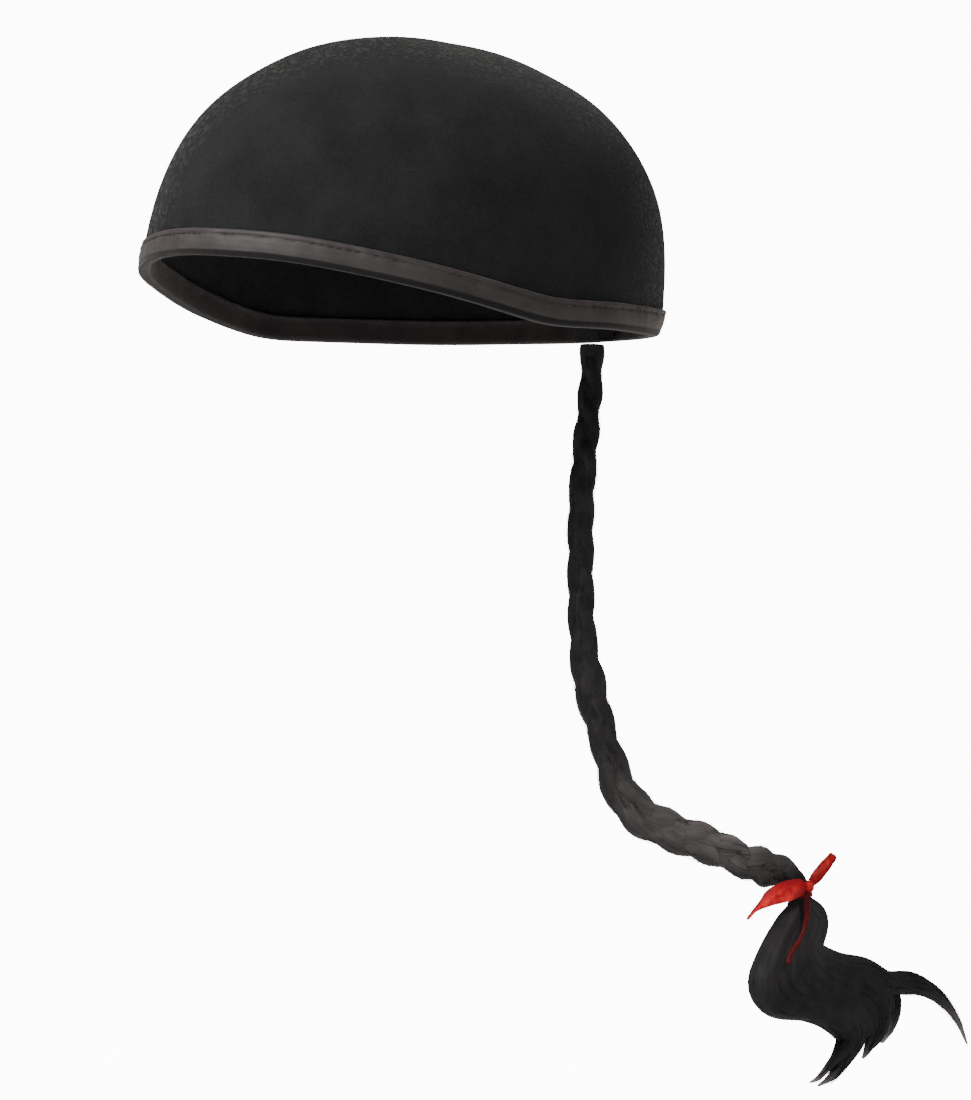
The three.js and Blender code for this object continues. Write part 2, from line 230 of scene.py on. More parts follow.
# Hair also fills the groove between neighbouring locks, in bundles that end at a share of their length.
NEIGHBOURS = [
    {"one": 0, "other": 1, "bundles": 2, "end": 0.74},
    {"one": 0, "other": 2, "bundles": 4, "end": 0.68},
    {"one": 1, "other": 2, "bundles": 2, "end": 0.68},
    {"one": 1, "other": 3, "bundles": 1, "end": 0.64},
    {"one": 2, "other": 3, "bundles": 2, "end": 0.7},
    {"one": 2, "other": 4, "bundles": 3, "end": 0.6},
    {"one": 3, "other": 4, "bundles": 2, "end": 0.6},
]

# The ribbon's free ends in mm, wide being half the width and lift how far the middle stands up as a
# crease.
LONG_END = table(
    "x y z wide lift",
    (8, 186.3, -199.8, 2.4, 0.9),
    (8.3, 184, -200, 3.1, 0.9),
    (8.6, 180.1, -200.6, 3.6, 0.7),
    (8.8, 175.9, -201.3, 3.7, 0.4),
    (9, 171.7, -202.2, 3.5, 0.3),
    (9.1, 168.5, -203.2, 3, 0.3),
    (9, 165.1, -204.9, 1.9, 0.5),
    (8.8, 162.5, -206.4, 1.1, 0.4),
    (8.4, 160.8, -207.8, 0.55, 0.2),
    (8, 157.7, -210.7, 0.35, 0.1),
)
SHORT_END = table(
    "x y z wide lift",
    (8.1, 190.1, -198.4, 1.7, 0.4),
    (8.4, 191.1, -197.3, 2.1, 0.6),
    (9, 192.5, -195.7, 2.3, 0.5),
    (9.6, 194.8, -193.2, 2.2, 0.3),
    (10, 197.2, -190.7, 2, 0.3),
    (10.1, 198.9, -189.2, 1.9, 0.3),
    (10.1, 199.7, -188.3, 1.4, 0.2),
)
STRING_END = table(
    "x y z wide",
    (8.2, 188, -199.6, 1.15),
    (8.5, 187.5, -205, 1.3),
    (8.8, 187.1, -210.3, 1.2),
    (9.2, 185.6, -214.7, 1.1),
    (10, 182.9, -218.2, 0.95),
    (10.7, 179.9, -221, 0.9),
    (11.4, 176.3, -224.3, 0.95),
    (11.8, 174.6, -227.5, 0.9),
)

# The turns of ribbon round the hair: how far each lies along the hair and how much wider it is, in mm, and
# how much it tilts.
RIBBON_TURNS = [
    {"rise": -0.6, "wider": 0.0, "tilt": 0.1},
    {"rise": 0.6, "wider": 0.35, "tilt": -0.14},
]


# The sizes and colours that a user would change


def an_amount(name, description, default, **kind):
    """A number that a user can change, such as a share, of this kind of unit or subtype."""
    return FloatProperty(name=name, description=description, default=default, **kind)


def a_length(name, description, default):
    return an_amount(name, description, default, unit="LENGTH")


def an_angle(name, description, degrees):
    return an_amount(name, description, math.radians(degrees), subtype="ANGLE")


def a_power(name, description, default):
    return an_amount(name, description, default, unit="POWER")


def a_count(name, description, default):
    return IntProperty(name=name, description=description, default=default)


def a_colour(name, description, default):
    return FloatVectorProperty(name=name, description=description, default=default, size=3, subtype="COLOR")


class CrownSettings(PropertyGroup):
    """Sizes and colour of the cloth crown."""

    half_length: a_length("Half length", "Half the crown's length, front to back", 0.099)
    half_breadth: a_length("Half breadth", "Half the crown's width at the ears", 0.079)
    top: a_length("Height", "Height of the top above the rim", CAD_BOX[1].z)
    widest_at: a_length("Widest at", "Height where the crown is widest", 0.01)
    shoulder: an_amount("Shoulder", "How late the sides turn in towards the top", 2.85)
    fullness: an_amount("Fullness", "How full the top is", 1.85)
    tuck: an_amount("Tuck", "Share that the rim is drawn in below the widest part", 0.02)
    lean: a_length("Lean", "How far the middle leans back", 0.0046)
    wall: a_length("Cloth", "Thickness of the cloth", 0.0016)
    front_rise: a_length("Front rise", "How far the rim rises at the forehead", 0.0245)
    front_blend: an_amount("Front blend", "How softly the rim starts to rise", 0.1)
    colour: a_colour("Cloth colour", "Colour of the felted cloth", (0.0096, 0.01, 0.0098))


class BandSettings(PropertyGroup):
    """Sizes and colour of the satin strip round the rim."""

    cloth: a_length("Cloth", "Thickness of the satin", 0.00042)
    pucker: a_length("Pucker", "Depth of the small puckers by the stitches", 0.00016)
    stitch_pitch: a_length("Stitch pitch", "Distance between two stitches", 0.0031)
    stitch_length: a_length("Stitch length", "Length of one stitch", 0.0022)
    colour: a_colour("Satin colour", "Colour of the satin", (0.0258, 0.021, 0.02))


class PlaitSettings(PropertyGroup):
    """Sizes and colour of the plaited hair."""

    sway: an_amount("Sway", "How far a strand swings to each side, as a share of the width", 0.187)
    weave: an_amount("Weave", "How far a strand goes over and under, as a share of the width", 0.105)
    strand: an_amount("Strand", "A strand's own radius, as a share of the width", 0.345)
    press: an_amount("Press", "How far two strands sink into each other, as a share of the width", 0.05)
    core: an_amount("Core", "Half width of the hair inside the plait, as a share of the width", 0.43)
    first_turn: an_amount("First turn", "Where in a turn the plait starts", 0.1)
    facing: an_angle("Facing", "How far round the flat side of the plait ends up from the nape", 50)
    turned_by: an_amount("Turned by", "Share of the length over which the flat side turns round", 0.3)
    grooves: an_amount("Grooves", "Depth of the grooves between wisps, as a share of the radius", 0.045)
    wisps: a_count("Wisps", "Loose fine hairs on each strand", 24)
    strays: a_count("Strays", "Fine hairs that lie over the whole plait", 220)
    colour: a_colour("Hair colour", "Colour of the hair", (0.0085, 0.0082, 0.0082))


class LooseHairSettings(PropertyGroup):
    """Sizes of the loose hair below the ribbon."""

    wisps: a_count("Wisps", "Wisps that lie over one lock", 7)
    hairs: a_count("Hairs", "Single fine hairs on one lock", 54)
    hair_radius: a_length("Hair radius", "Radius of a single hair", 0.00011)


class RibbonSettings(PropertyGroup):
    """Sizes and colour of the satin ribbon."""

    cloth: a_length("Ribbon", "Thickness of the ribbon", 0.00035)
    wrap_radius: a_length("Wrap radius", "Inner radius of the turns round the hair", 0.0048)
    wrap_height: a_length("Wrap height", "Height of the turns round the hair", 0.004)
    colour: a_colour("Ribbon colour", "Colour of the ribbon", (0.4, 0.004, 0.012))


class StageSettings(PropertyGroup):
    """The floor, the lamps and the camera."""

    floor: a_length("Floor", "Height of the floor", -0.36)
    azimuth: an_angle("Azimuth", "Direction that the camera stands in, round from the front", 50)
    distance: a_length("Distance", "Distance of the camera", 1.8)
    aside: a_length("Aside", "How far the camera stands to the right", 0.0297)
    height: a_length("Height", "Height of the camera", -0.0749)
    lens: an_amount("Lens", "Focal length", 168.79, unit="CAMERA")
    key: a_power("Key lamp", "Strength of the main lamp", 60)
    fill: a_power("Fill lamp", "Strength of the fill lamp", 2)
    spot: a_power("Hair lamp", "Strength of the lamp on the plait", 52)
    sky: an_amount("Sky", "Strength of the light from all round", 0.24)
    glow: an_amount("Floor glow", "How white the floor shows", 12)


SETTINGS = {
    "hat_crown": CrownSettings,
    "hat_band": BandSettings,
    "hat_plait": PlaitSettings,
    "hat_loose_hair": LooseHairSettings,
    "hat_ribbon": RibbonSettings,
    "hat_stage": StageSettings,
}


# Shared ways of making a piece


def deselect():
    if bpy.context.object and bpy.context.object.mode != "OBJECT":
        bpy.ops.object.mode_set(mode="OBJECT")
    bpy.ops.object.select_all(action="DESELECT")


def pick(*pieces):
    deselect()
    for piece in pieces:
        piece.select_set(True)
    bpy.context.view_layer.objects.active = pieces[0]


def named(name):
    """The piece that was just made, under its own name."""
    piece = bpy.context.object
    piece.name = piece.data.name = name
    return piece


def joined(name, pieces):
    """One piece of this name, made of these."""
    pick(*pieces)
    bpy.ops.object.join()
    return named(name)


def twin(piece):
    """A copy of a piece, with its own mesh."""
    made = piece.copy()
    made.data = piece.data.copy()
    bpy.context.scene.collection.objects.link(made)
    return made


def corners(piece):
    """The places of a piece's corners."""
    spots = np.empty(len(piece.data.vertices) * 3)
    piece.data.vertices.foreach_get("co", spots)
    return spots.reshape(-1, 3)


def move_corners(piece, spots):
    """Puts a piece's corners at these places."""
    piece.data.vertices.foreach_set("co", np.ascontiguousarray(spots).ravel())
    piece.data.update()


def grid(name, across, along, place, comb=None):
    """A grid of cloth bent to where place(u, v) puts it, u running across it and v along it, 0 to 1."""
    deselect()
    bpy.ops.mesh.primitive_grid_add(x_subdivisions=across, y_subdivisions=along, size=1)
    return lay(named(name), place, comb)


def lay(piece, place, comb=None):
    """Moves each corner of a flat grid to its place, and keeps where along a lock of hair it lies."""
    u, v = np.clip(corners(piece)[:, :2] + 0.5, 0, 1).T
    if comb:
        kept = piece.data.attributes.new("comb", "FLOAT_VECTOR", "POINT")
        kept.data.foreach_set("vector", np.ascontiguousarray(comb(u, v)).ravel())
    move_corners(piece, place(u, v))
    return piece


def close_seams(piece, inside=False):
    """Joins the corners that have come together, and turns every face outwards, or inwards."""
    pick(piece)
    bpy.ops.object.mode_set(mode="EDIT")
    bpy.ops.mesh.select_all(action="SELECT")
    bpy.ops.mesh.remove_doubles(threshold=2e-6)
    bpy.ops.mesh.normals_make_consistent(inside=inside)
    bpy.ops.object.mode_set(mode="OBJECT")


def applied(piece, kind, **values):
    """Adds a modifier with these values and applies it."""
    pick(piece)
    bpy.ops.object.modifier_add(type=kind)
    modifier = piece.modifiers[-1]
    for name, value in values.items():
        setattr(modifier, name, value)
    bpy.ops.object.modifier_apply(modifier=modifier.name)


def finished(piece, look, slot, *nodes, crease=None):
    """Smooths a piece, up to a crease, and gives it its material and its place in the packed part."""
    pick(piece)
    if crease is None:
        bpy.ops.object.shade_smooth()
    else:
        bpy.ops.object.shade_smooth_by_angle(angle=crease)
    piece.data.materials.clear()
    piece.data.materials.append(look)
    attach(piece, "root")
    if nodes:
        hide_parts(*nodes)
    return piece


def numbers(rows, columns):
    """The named columns of a table in mm, as an array in metres. A column that it lacks is 0."""
    lacking = np.zeros(len(next(iter(rows.values()))))
    return np.c_[tuple(rows.get(column, lacking) for column in columns.split())] * MM


def ripples(spots, wavelength, seed, waves=9):
    """Smooth unevenness, about -1 to 1, at each spot, its swells about a wavelength apart."""
    chance = np.random.default_rng(seed)
    total = np.zeros(len(spots))
    for _ in range(waves):
        way = chance.normal(size=spots.shape[1])
        way *= 2 * np.pi / (wavelength * chance.uniform(0.65, 1.7)) / np.linalg.norm(way)
        total += np.sin(spots @ way + chance.uniform(0, 2 * np.pi))
    return total / math.sqrt(waves / 1.2)


def through(points, per_span):
    """Points on the smooth line that runs through the given ones, per_span of them for each span."""
    ends = [2 * points[0] - points[1], *points, 2 * points[-1] - points[-2]]
    line = []
    for a, b, c, d in zip(ends, ends[1:], ends[2:], ends[3:]):
        before, span, after = (max(np.linalg.norm(q - p), 1e-9) ** 0.5 for p, q in ((a, b), (b, c), (c, d)))
        rise = ((b - a) / before - (c - a) / (before + span) + (c - b) / span) * span
        fall = ((c - b) / span - (d - b) / (span + after) + (d - c) / after) * span
        for t in np.arange(per_span) / per_span:
            line.append(
                b + rise * t + (3 * (c - b) - 2 * rise - fall) * t**2 + (2 * (b - c) + rise + fall) * t**3
            )
    return np.array([*line, points[-1]])


def unit(vectors):
    return vectors / np.maximum(np.linalg.norm(vectors, axis=-1, keepdims=True), 1e-12)


def at_share(values, shares):
    """A list of values read at shares of its length, 0 to 1, flowing from each to the next."""
    spots = np.clip(shares, 0, 1) * (len(values) - 1)
    low = np.minimum(spots.astype(int), len(values) - 2)
    part = (spots - low).reshape(-1, *([1] * (values.ndim - 1)))
    return values[low] * (1 - part) + values[low + 1] * part


def ways_across(line, facing):
    """The two ways across a line at each of its points, the second near to facing."""
    tangent = unit(np.gradient(line, axis=0))
    across = unit(np.cross(tangent, facing))
    return across, unit(np.cross(across, tangent))


def beside(path, along, x, y):
    """Spots beside a path, which starts with its line and its two ways across, x and y away from it."""
    line, across, out = (at_share(part, along) for part in path[:3])
    return line + across * x[:, None] + out * y[:, None]


def capped(v, cap, start=None):
    """How far along its line a tube's grid lies at v, and how open it is, closing over a cap at each end."""
    start = cap if start is None else start
    return np.clip((v - start) / (1 - 2 * start), 0, 1), np.clip(np.minimum(v, 1 - v) / cap, 0, 1)


def combed(u, v, seed, counts=(7, 11, 17, 23)):
    """The grooves between the wisps of a lock, about -1 to 1, round it by u and along it by v."""
    chance = np.random.default_rng(seed)
    angle = 2 * np.pi * u
    total = np.zeros(len(u))
    for count in counts:
        drift = chance.uniform(-0.5, 0.5) * v + 0.2 * np.sin(2 * np.pi * (v * 3 + chance.uniform()))
        strength = chance.uniform(0.6, 1) * (0.75 + 0.25 * np.sin(2 * np.pi * (v * 5 + chance.uniform())))
        groove = np.cos(count * (angle + drift) + chance.uniform(0, 2 * np.pi))
        total += strength * groove * (counts[0] / count) ** 0.45
    return total / len(counts) ** 0.5


def combing(radius, shift, length):
    """A function that gives the places in a lock's straight, combed hair, which its material reads."""

    def comb(u, v):
        angle = 2 * np.pi * u
        return np.c_[np.sin(angle) * radius + shift, np.cos(angle) * radius, v * length]

    return comb


def fine_hairs(name, lines, radius, seed):
    """Single hairs as thin tapered tubes, one along each line of points."""
    chance = np.random.default_rng(seed)
    curve = bpy.data.curves.new(name, "CURVE")
    curve.dimensions = "3D"
    curve.bevel_depth = 1.0
    curve.bevel_resolution = 0
    curve.use_fill_caps = True
    for line in lines:
        spline = curve.splines.new("POLY")
        spline.points.add(len(line) - 1)
        spline.points.foreach_set("co", np.c_[line, np.ones(len(line))].ravel())
        share = np.linspace(0, 1, len(line))
        girth = radius * chance.uniform(0.7, 1.25) * (0.25 + 0.75 * np.sin(np.pi * share) ** 0.5)
        spline.points.foreach_set("radius", girth)
    piece = bpy.data.objects.new(name, curve)
    bpy.context.scene.collection.objects.link(piece)
    pick(piece)
    bpy.ops.object.convert(target="MESH")
    finished(bpy.context.object, hair("single hairs"), "hair")


# Shader helpers


def add(tree, kind, settings=None, **inputs):
    """A shader node with these settings. Each input is named, or numbered as in _0, and is given as a value
    or as another node's output."""
    made = tree.nodes.new(kind)
    for name, value in (settings or {}).items():
        setattr(made, name, value)
    for name, value in inputs.items():
        socket = made.inputs[int(name[1:])] if name[1:].isdigit() else made.inputs[name.replace("_", " ")]
        if isinstance(value, bpy.types.NodeSocket):
            tree.links.new(value, socket)
        else:
            socket.default_value = value
    return made


def object_vector(tree):
    return add(tree, "ShaderNodeTexCoord").outputs["Object"]


def comb_vector(tree):
    return add(tree, "ShaderNodeAttribute", {"attribute_name": "comb"}).outputs["Vector"]


def stretched(tree, vector, scale):
    return add(tree, "ShaderNodeMapping", Vector=vector, Scale=scale).outputs["Vector"]


def noise(tree, vector, scale, detail=3.0, roughness=0.55):
    made = add(tree, "ShaderNodeTexNoise", Vector=vector, Scale=scale, Detail=detail, Roughness=roughness)
    return made.outputs["Fac"]


def maths(tree, operation, a, b):
    """What an operation makes of two values, each of them a number or a node's output."""
    return add(tree, "ShaderNodeMath", {"operation": operation}, _0=a, _1=b).outputs[0]


def product(tree, a, b):
    return maths(tree, "MULTIPLY", a, b)


def plus(tree, a, b):
    return maths(tree, "ADD", a, b)


def sharpen(tree, value, low, high):
    """A value stretched so that low becomes 0 and high becomes 1."""
    return add(tree, "ShaderNodeMapRange", Value=value, From_Min=low, From_Max=high).outputs["Result"]


def ramp(tree, value, stops):
    """A value that follows these pairs of a distance and an amount, the first at distance 0."""
    far = stops[-1][0]
    made = add(tree, "ShaderNodeValToRGB", Fac=maths(tree, "DIVIDE", value, far))
    row = made.color_ramp.elements
    for distance, amount in stops:
        stop = {0: row[0], far: row[-1]}.get(distance) or row.new(distance / far)
        stop.color = (amount, amount, amount, 1)
    return made.outputs["Color"]


def times(colour, amount):
    return tuple(channel * amount for channel in colour)


def shade(tree, factor, dark, light, blend="MIX"):
    """A colour between dark and light, or both blended another way. Each is a colour or a node's output."""
    mix = add(tree, "ShaderNodeMix", {"data_type": "RGBA", "blend_type": blend}, _0=factor)
    for socket, colour in zip(mix.inputs[6:8], (dark, light)):
        if isinstance(colour, bpy.types.NodeSocket):
            tree.links.new(colour, socket)
        else:
            socket.default_value = (*colour, 1)
    return mix.outputs[2]


def bump(tree, strength, distance, height):
    """The bent normal of a surface that is this high."""
    made = add(tree, "ShaderNodeBump", Strength=strength, Distance=distance, Height=height)
    return made.outputs["Normal"]


def feed(tree, shader, **outputs):
    """Links other nodes' outputs to a shader's sockets."""
    for name, output in outputs.items():
        tree.links.new(output, shader.inputs[name.replace("_", " ")])


# The grain of brushed cloth, and of hair and satin thread: the detail and roughness of its fine lines and
# of its wide patches, and the range of the patches that is stretched to run from 0 to 1.
GRAINS = {
    "brushed nap": {"lines": (6.0, 0.7), "patches": (4.0, 0.6), "range": (0.35, 0.68)},
    "fine streaks": {"lines": (4.0, 0.65), "patches": (3.0, 0.55), "range": (0.38, 0.66)},
}


def grain_group(name):
    """The shader group of a grain."""
    tree = bpy.data.node_groups.new(name, "ShaderNodeTree")
    tree.interface.new_socket("Vector", in_out="INPUT", socket_type="NodeSocketVector")
    for title, way in (("Fine", "INPUT"), ("Coarse", "INPUT"), ("Lines", "OUTPUT"), ("Patches", "OUTPUT")):
        tree.interface.new_socket(title, in_out=way, socket_type="NodeSocketFloat")
    given = tree.nodes.new("NodeGroupInput").outputs
    out = tree.nodes.new("NodeGroupOutput").inputs
    lines = noise(tree, given["Vector"], given["Fine"], *GRAINS[name]["lines"])
    patches = noise(tree, given["Vector"], given["Coarse"], *GRAINS[name]["patches"])
    tree.links.new(lines, out["Lines"])
    tree.links.new(sharpen(tree, patches, *GRAINS[name]["range"]), out["Patches"])
    return tree


def grain(tree, name, vector, fine, coarse):
    """The lines and the patches of a grain at these scales, from its group, which is made once."""
    kept = bpy.data.node_groups.get(name) or grain_group(name)
    made = add(tree, "ShaderNodeGroup", {"node_tree": kept}, Vector=vector, Fine=fine, Coarse=coarse)
    return made.outputs["Lines"], made.outputs["Patches"]


def material(name, roughness, **fixed):
    """A new material, its shader's fixed values set on the shader's own sockets."""
    made = bpy.data.materials.new(name)
    made.use_nodes = True
    tree = made.node_tree
    tree.nodes.clear()
    shader = add(tree, "ShaderNodeBsdfPrincipled", Roughness=roughness, **fixed)
    add(tree, "ShaderNodeOutputMaterial", Surface=shader.outputs["BSDF"])
    return made, tree, shader


def felt_material():
    """Brushed cloth, cloudy all over; pale and dark speckles of painted sheen where it turns from the eye.
    """
    made, tree, shader = material(
        "brushed black cloth", 0.94, Specular_IOR_Level=0.25,
        Sheen_Weight=0.14, Sheen_Roughness=0.45, Sheen_Tint=(0.45, 0.45, 0.44, 1),
    )
    colour = tuple(bpy.context.scene.hat_crown.colour)
    spots = object_vector(tree)
    fibres, patches = grain(tree, "brushed nap", spots, 1500.0, 60.0)
    cloudy = shade(tree, patches, times(colour, 0.72), times(colour, 1.35))
    fuzzy = shade(tree, sharpen(tree, fibres, 0.5, 0.85), (0, 0, 0), times(colour, 1.1))
    # Painted sheen: where the cloth turns away from the eye, pale speckles with darker cloth between them.
    edge = sharpen(tree, add(tree, "ShaderNodeLayerWeight", Blend=0.5).outputs["Facing"], 0.5, 0.85)
    spotted = sharpen(tree, noise(tree, spots, 560.0, 3.0), 0.5, 0.62)
    painted_sheen_specks = shade(tree, spotted, times(colour, 0.45), (0.066, 0.06, 0.055))
    cloth = shade(tree, 1.0, cloudy, fuzzy, "ADD")
    weave = noise(tree, spots, 420.0, 2.0)
    feed(
        tree, shader,
        Base_Color=shade(tree, product(tree, edge, 0.8), cloth, painted_sheen_specks),
        Normal=bump(tree, 0.55, 0.0004, plus(tree, fibres, product(tree, weave, 0.6))),
    )
    return made


def satin_threads(tree, cloth):
    """The threads of a satin that run along its UV map, and the patches of painted shine on them."""
    return grain(tree, "fine streaks", stretched(tree, cloth, (0.06, 1, 1)), 4200.0, 500.0)


def band_material(colour, girth):
    """Dark satin as long as the rim is round, darkest and dullest along its lower fold, as painted shade."""
    made, tree, shader = material(
        "dark satin", 0.62, Sheen_Weight=0.27, Sheen_Roughness=0.4, Sheen_Tint=(0.75, 0.68, 0.63, 1)
    )
    flat = add(tree, "ShaderNodeTexCoord").outputs["UV"]
    cloth = stretched(tree, flat, (girth, 0.04, 1))
    threads, sheen = satin_threads(tree, cloth)
    patches = sharpen(tree, noise(tree, cloth, 70.0, 3.0), 0.35, 0.65)
    side = add(tree, "ShaderNodeSeparateXYZ", Vector=flat).outputs["Y"]
    # Painted shade: a dark strip along the lower fold, about half to three quarters of the way round the
    # section.
    shown = ramp(tree, side, ((0, 1), (0.49, 1), (0.53, 0), (0.74, 0), (0.78, 1), (1, 1)))
    # Lighter mottling, partly painted sheen of the threads and partly random patches.
    mottled = plus(tree, product(tree, sheen, 0.35), product(tree, patches, 0.65))
    fold_shade_painted = shade(tree, shown, times(colour, 0.1), times(colour, 0.8))
    rough_fold = product(tree, maths(tree, "SUBTRACT", 1.0, shown), 0.4)
    feed(
        tree, shader,
        Base_Color=shade(tree, product(tree, mottled, shown), fold_shade_painted, times(colour, 1.7)),
        Roughness=plus(tree, plus(tree, product(tree, threads, 0.22), rough_fold), 0.51),
        Normal=bump(tree, 0.35, 0.00012, threads),
    )
    return made


# The finishes of the hair: what its grain follows, its fine and coarse scale and how it is stretched, how
# many times brighter its patches are than its colour, its sheen, how mottled it is, and where it is paler,
# as pairs of a distance along the hair in metres and an amount. The paleness is painted light on the
# plait's lower stretch, and on the loose hair a painted highlight at the neck and paler tips.
HAIR_FINISHES = {
    "combed hair": {
        "vector": comb_vector, "fine": 3000.0, "coarse": 700.0, "stretch": (1, 1, 0.035),
        "bright": 40.0, "sheen": 0.02, "mottled": 0.032,
        # Paler at the neck as a painted highlight, and paler towards the tips.
        "paler": ((0, 0.05), (0.025, 0.04), (0.045, 0), (0.08, 0), (0.095, 0.08), (0.11, 0.45), (0.12, 1)),
    },
    "plaited hair": {
        "vector": comb_vector, "fine": 2600.0, "coarse": 600.0, "stretch": (1, 1, 0.05),
        "bright": 16.0, "sheen": 0.2, "mottled": 0.14,
        # Paler along the lower stretch as painted light where the plait is lit, less again by the ribbon.
        "paler": (
            (0, 0.02), (0.13, 0.04), (0.155, 0.12), (0.185, 0.8), (0.225, 0.78), (0.245, 0.2), (0.27, 0.08)
        ),
    },
    "single hairs": {
        "vector": object_vector, "fine": 900.0, "coarse": 240.0, "stretch": (1, 1, 1),
        "bright": 2.2, "sheen": 0.05, "mottled": 1.0,
    },
}


def hair(name):
    """The material of this finish, made once."""
    return bpy.data.materials.get(name) or hair_material(name, **HAIR_FINISHES[name])


def hair_material(name, vector, fine, coarse, stretch, bright, sheen, mottled, paler=None):
    """Black hair with brown-grey painted glint in patches, painted shade at the plait's lower edge if paler
    in places.
    """
    made, tree, shader = material(
        name, 0.6, Specular_IOR_Level=0.16,
        Sheen_Weight=sheen, Sheen_Roughness=0.4, Sheen_Tint=(0.6, 0.55, 0.52, 1),
    )
    colour = tuple(bpy.context.scene.hat_plait.colour)
    brown = (colour[0] * bright, colour[1] * bright * 0.93, colour[2] * bright * 0.9)
    spots = vector(tree)
    lines, shine = grain(tree, "fine streaks", stretched(tree, spots, stretch), fine, coarse)
    # Painted glint: random streaked patches that brighten the hair towards brown-grey.
    patches = sharpen(tree, noise(tree, object_vector(tree), 110.0, 4.0), 0.36, 0.66)
    streaky = plus(tree, product(tree, shine, 0.4), 0.6)
    glint = product(tree, product(tree, streaky, patches), mottled)
    if paler:
        # Painted light where the hair is paler along its length, and paler tips on the loose hair.
        along = add(tree, "ShaderNodeSeparateXYZ", Vector=spots).outputs["Z"]
        glint = plus(tree, glint, product(tree, ramp(tree, along, paler), streaky))
        # Painted shade: darker towards the plait's lower edge, by the side each spot was marked with.
        side = add(tree, "ShaderNodeAttribute", {"attribute_name": "side"}).outputs["Fac"]
        glint = product(tree, glint, sharpen(tree, side, 0.95, 0.3))
    feed(
        tree, shader,
        Base_Color=shade(tree, glint, times(colour, 0.85), brown),
        Roughness=plus(tree, product(tree, lines, 0.35), 0.45),
        Normal=bump(tree, 0.3, 0.0002, lines),
    )
    return made


def ribbon_material(name, low, high):
    """Red satin, low and high being how deep and how bright its painted shade and light get from base to
    tip.
    """
    made, tree, shader = material(
        name, 0.5, Specular_IOR_Level=0.15,
        Sheen_Weight=0.06, Sheen_Roughness=0.3, Sheen_Tint=(1.0, 0.15, 0.13, 1),
    )
    colour = tuple(bpy.context.scene.hat_ribbon.colour)
    bright = (colour[0] * high, colour[1] * high * 3.2, colour[2] * high)
    flat = add(tree, "ShaderNodeTexCoord").outputs["UV"]
    place = add(tree, "ShaderNodeSeparateXYZ", Vector=flat)
    cloth = stretched(tree, flat, (0.034, 0.01, 1))
    threads, _ = satin_threads(tree, cloth)
    # Painted light and shade: lighter in patches for its folds, towards the tip, and away from the edge at
    # UV y = 1.
    painted_fold_light = sharpen(tree, noise(tree, cloth, 150.0, 2.0), 0.4, 0.6)
    near_tip = sharpen(tree, place.outputs["X"], 0.05, 0.4)
    low_side = sharpen(tree, place.outputs["Y"], 1.0, 0.5)
    lit = product(tree, plus(tree, product(tree, painted_fold_light, 0.75), 0.25), product(tree, near_tip, low_side))
    feed(
        tree, shader,
        Base_Color=shade(tree, lit, times(colour, low), bright),
        Roughness=plus(tree, product(tree, threads, 0.2), 0.4),
        Normal=bump(tree, 0.35, 0.00012, threads),
    )
    return made


# The crown and its band


def outline_at(z, top):
    """The share of its widest outline that the crown has at a height."""
    hat = bpy.context.scene.hat_crown
    climb = np.clip((z - hat.widest_at) / (top - hat.widest_at), 0, 1)
    tucked = 1 - hat.tuck * ((hat.widest_at - z) / hat.widest_at) ** 2
    return np.where(z < hat.widest_at, tucked, (1 - climb**hat.shoulder) ** (1 / hat.fullness))


def rim_at(angle):
    """The rim's height, level at the sides and back and rising over the forehead, at angle 0."""
    hat = bpy.context.scene.hat_crown
    forward = np.cos(angle)
    eased = (forward + np.hypot(forward, hat.front_blend)) / (1 + math.hypot(1, hat.front_blend))
    return hat.front_rise * eased


def dome_spot(angle, z, inset=0.0):
    """A place on the crown's outer face, or inset inside it."""
    hat = bpy.context.scene.hat_crown
    share = outline_at(z, hat.top - inset)
    lean = hat.lean * np.sin(np.pi * z / hat.top)
    return np.c_[
        (hat.half_breadth - inset) * share * np.sin(angle),
        lean - (hat.half_length - inset) * share * np.cos(angle),
        z,
    ]


class HAT_OT_crown(Operator):
    """Makes the cloth crown, with its soft unevenness, and its wall."""

    bl_idname = "hat.make_crown"
    bl_label = "Crown"

    def execute(self, context):
        hat = context.scene.hat_crown
        hem, lump, gather = 1.2 * MM, 0.35 * MM, 0.16 * MM
        middle = (0, 0, hat.top * 0.3)

        def place(u, v):
            angle = 2 * np.pi * u
            low = rim_at(angle) + hem
            z = low + (hat.top - low) * np.sin(v * np.pi / 2)
            spots = dome_spot(angle, z)
            out = unit(spots - middle)
            free = np.clip((z - low) / 0.03, 0, 1) * np.clip((1 - v) / 0.12, 0, 1)
            by_band = np.exp(-((z - low - 0.009) / 0.008) ** 2)
            lumps = ripples(spots, 0.05, 3) * lump * free
            gathers = ripples(spots * (1, 1, 0.2), 0.0075, 5) * gather * by_band
            return spots + out * (lumps + gathers)[:, None]

        piece = grid("crown_cloth", 224, 72, place)
        close_seams(piece)
        applied(piece, "SOLIDIFY", thickness=hat.wall, offset=-1, use_even_offset=True)
        finished(piece, felt_material(), "crown_cloth", "crown")
        return {"FINISHED"}


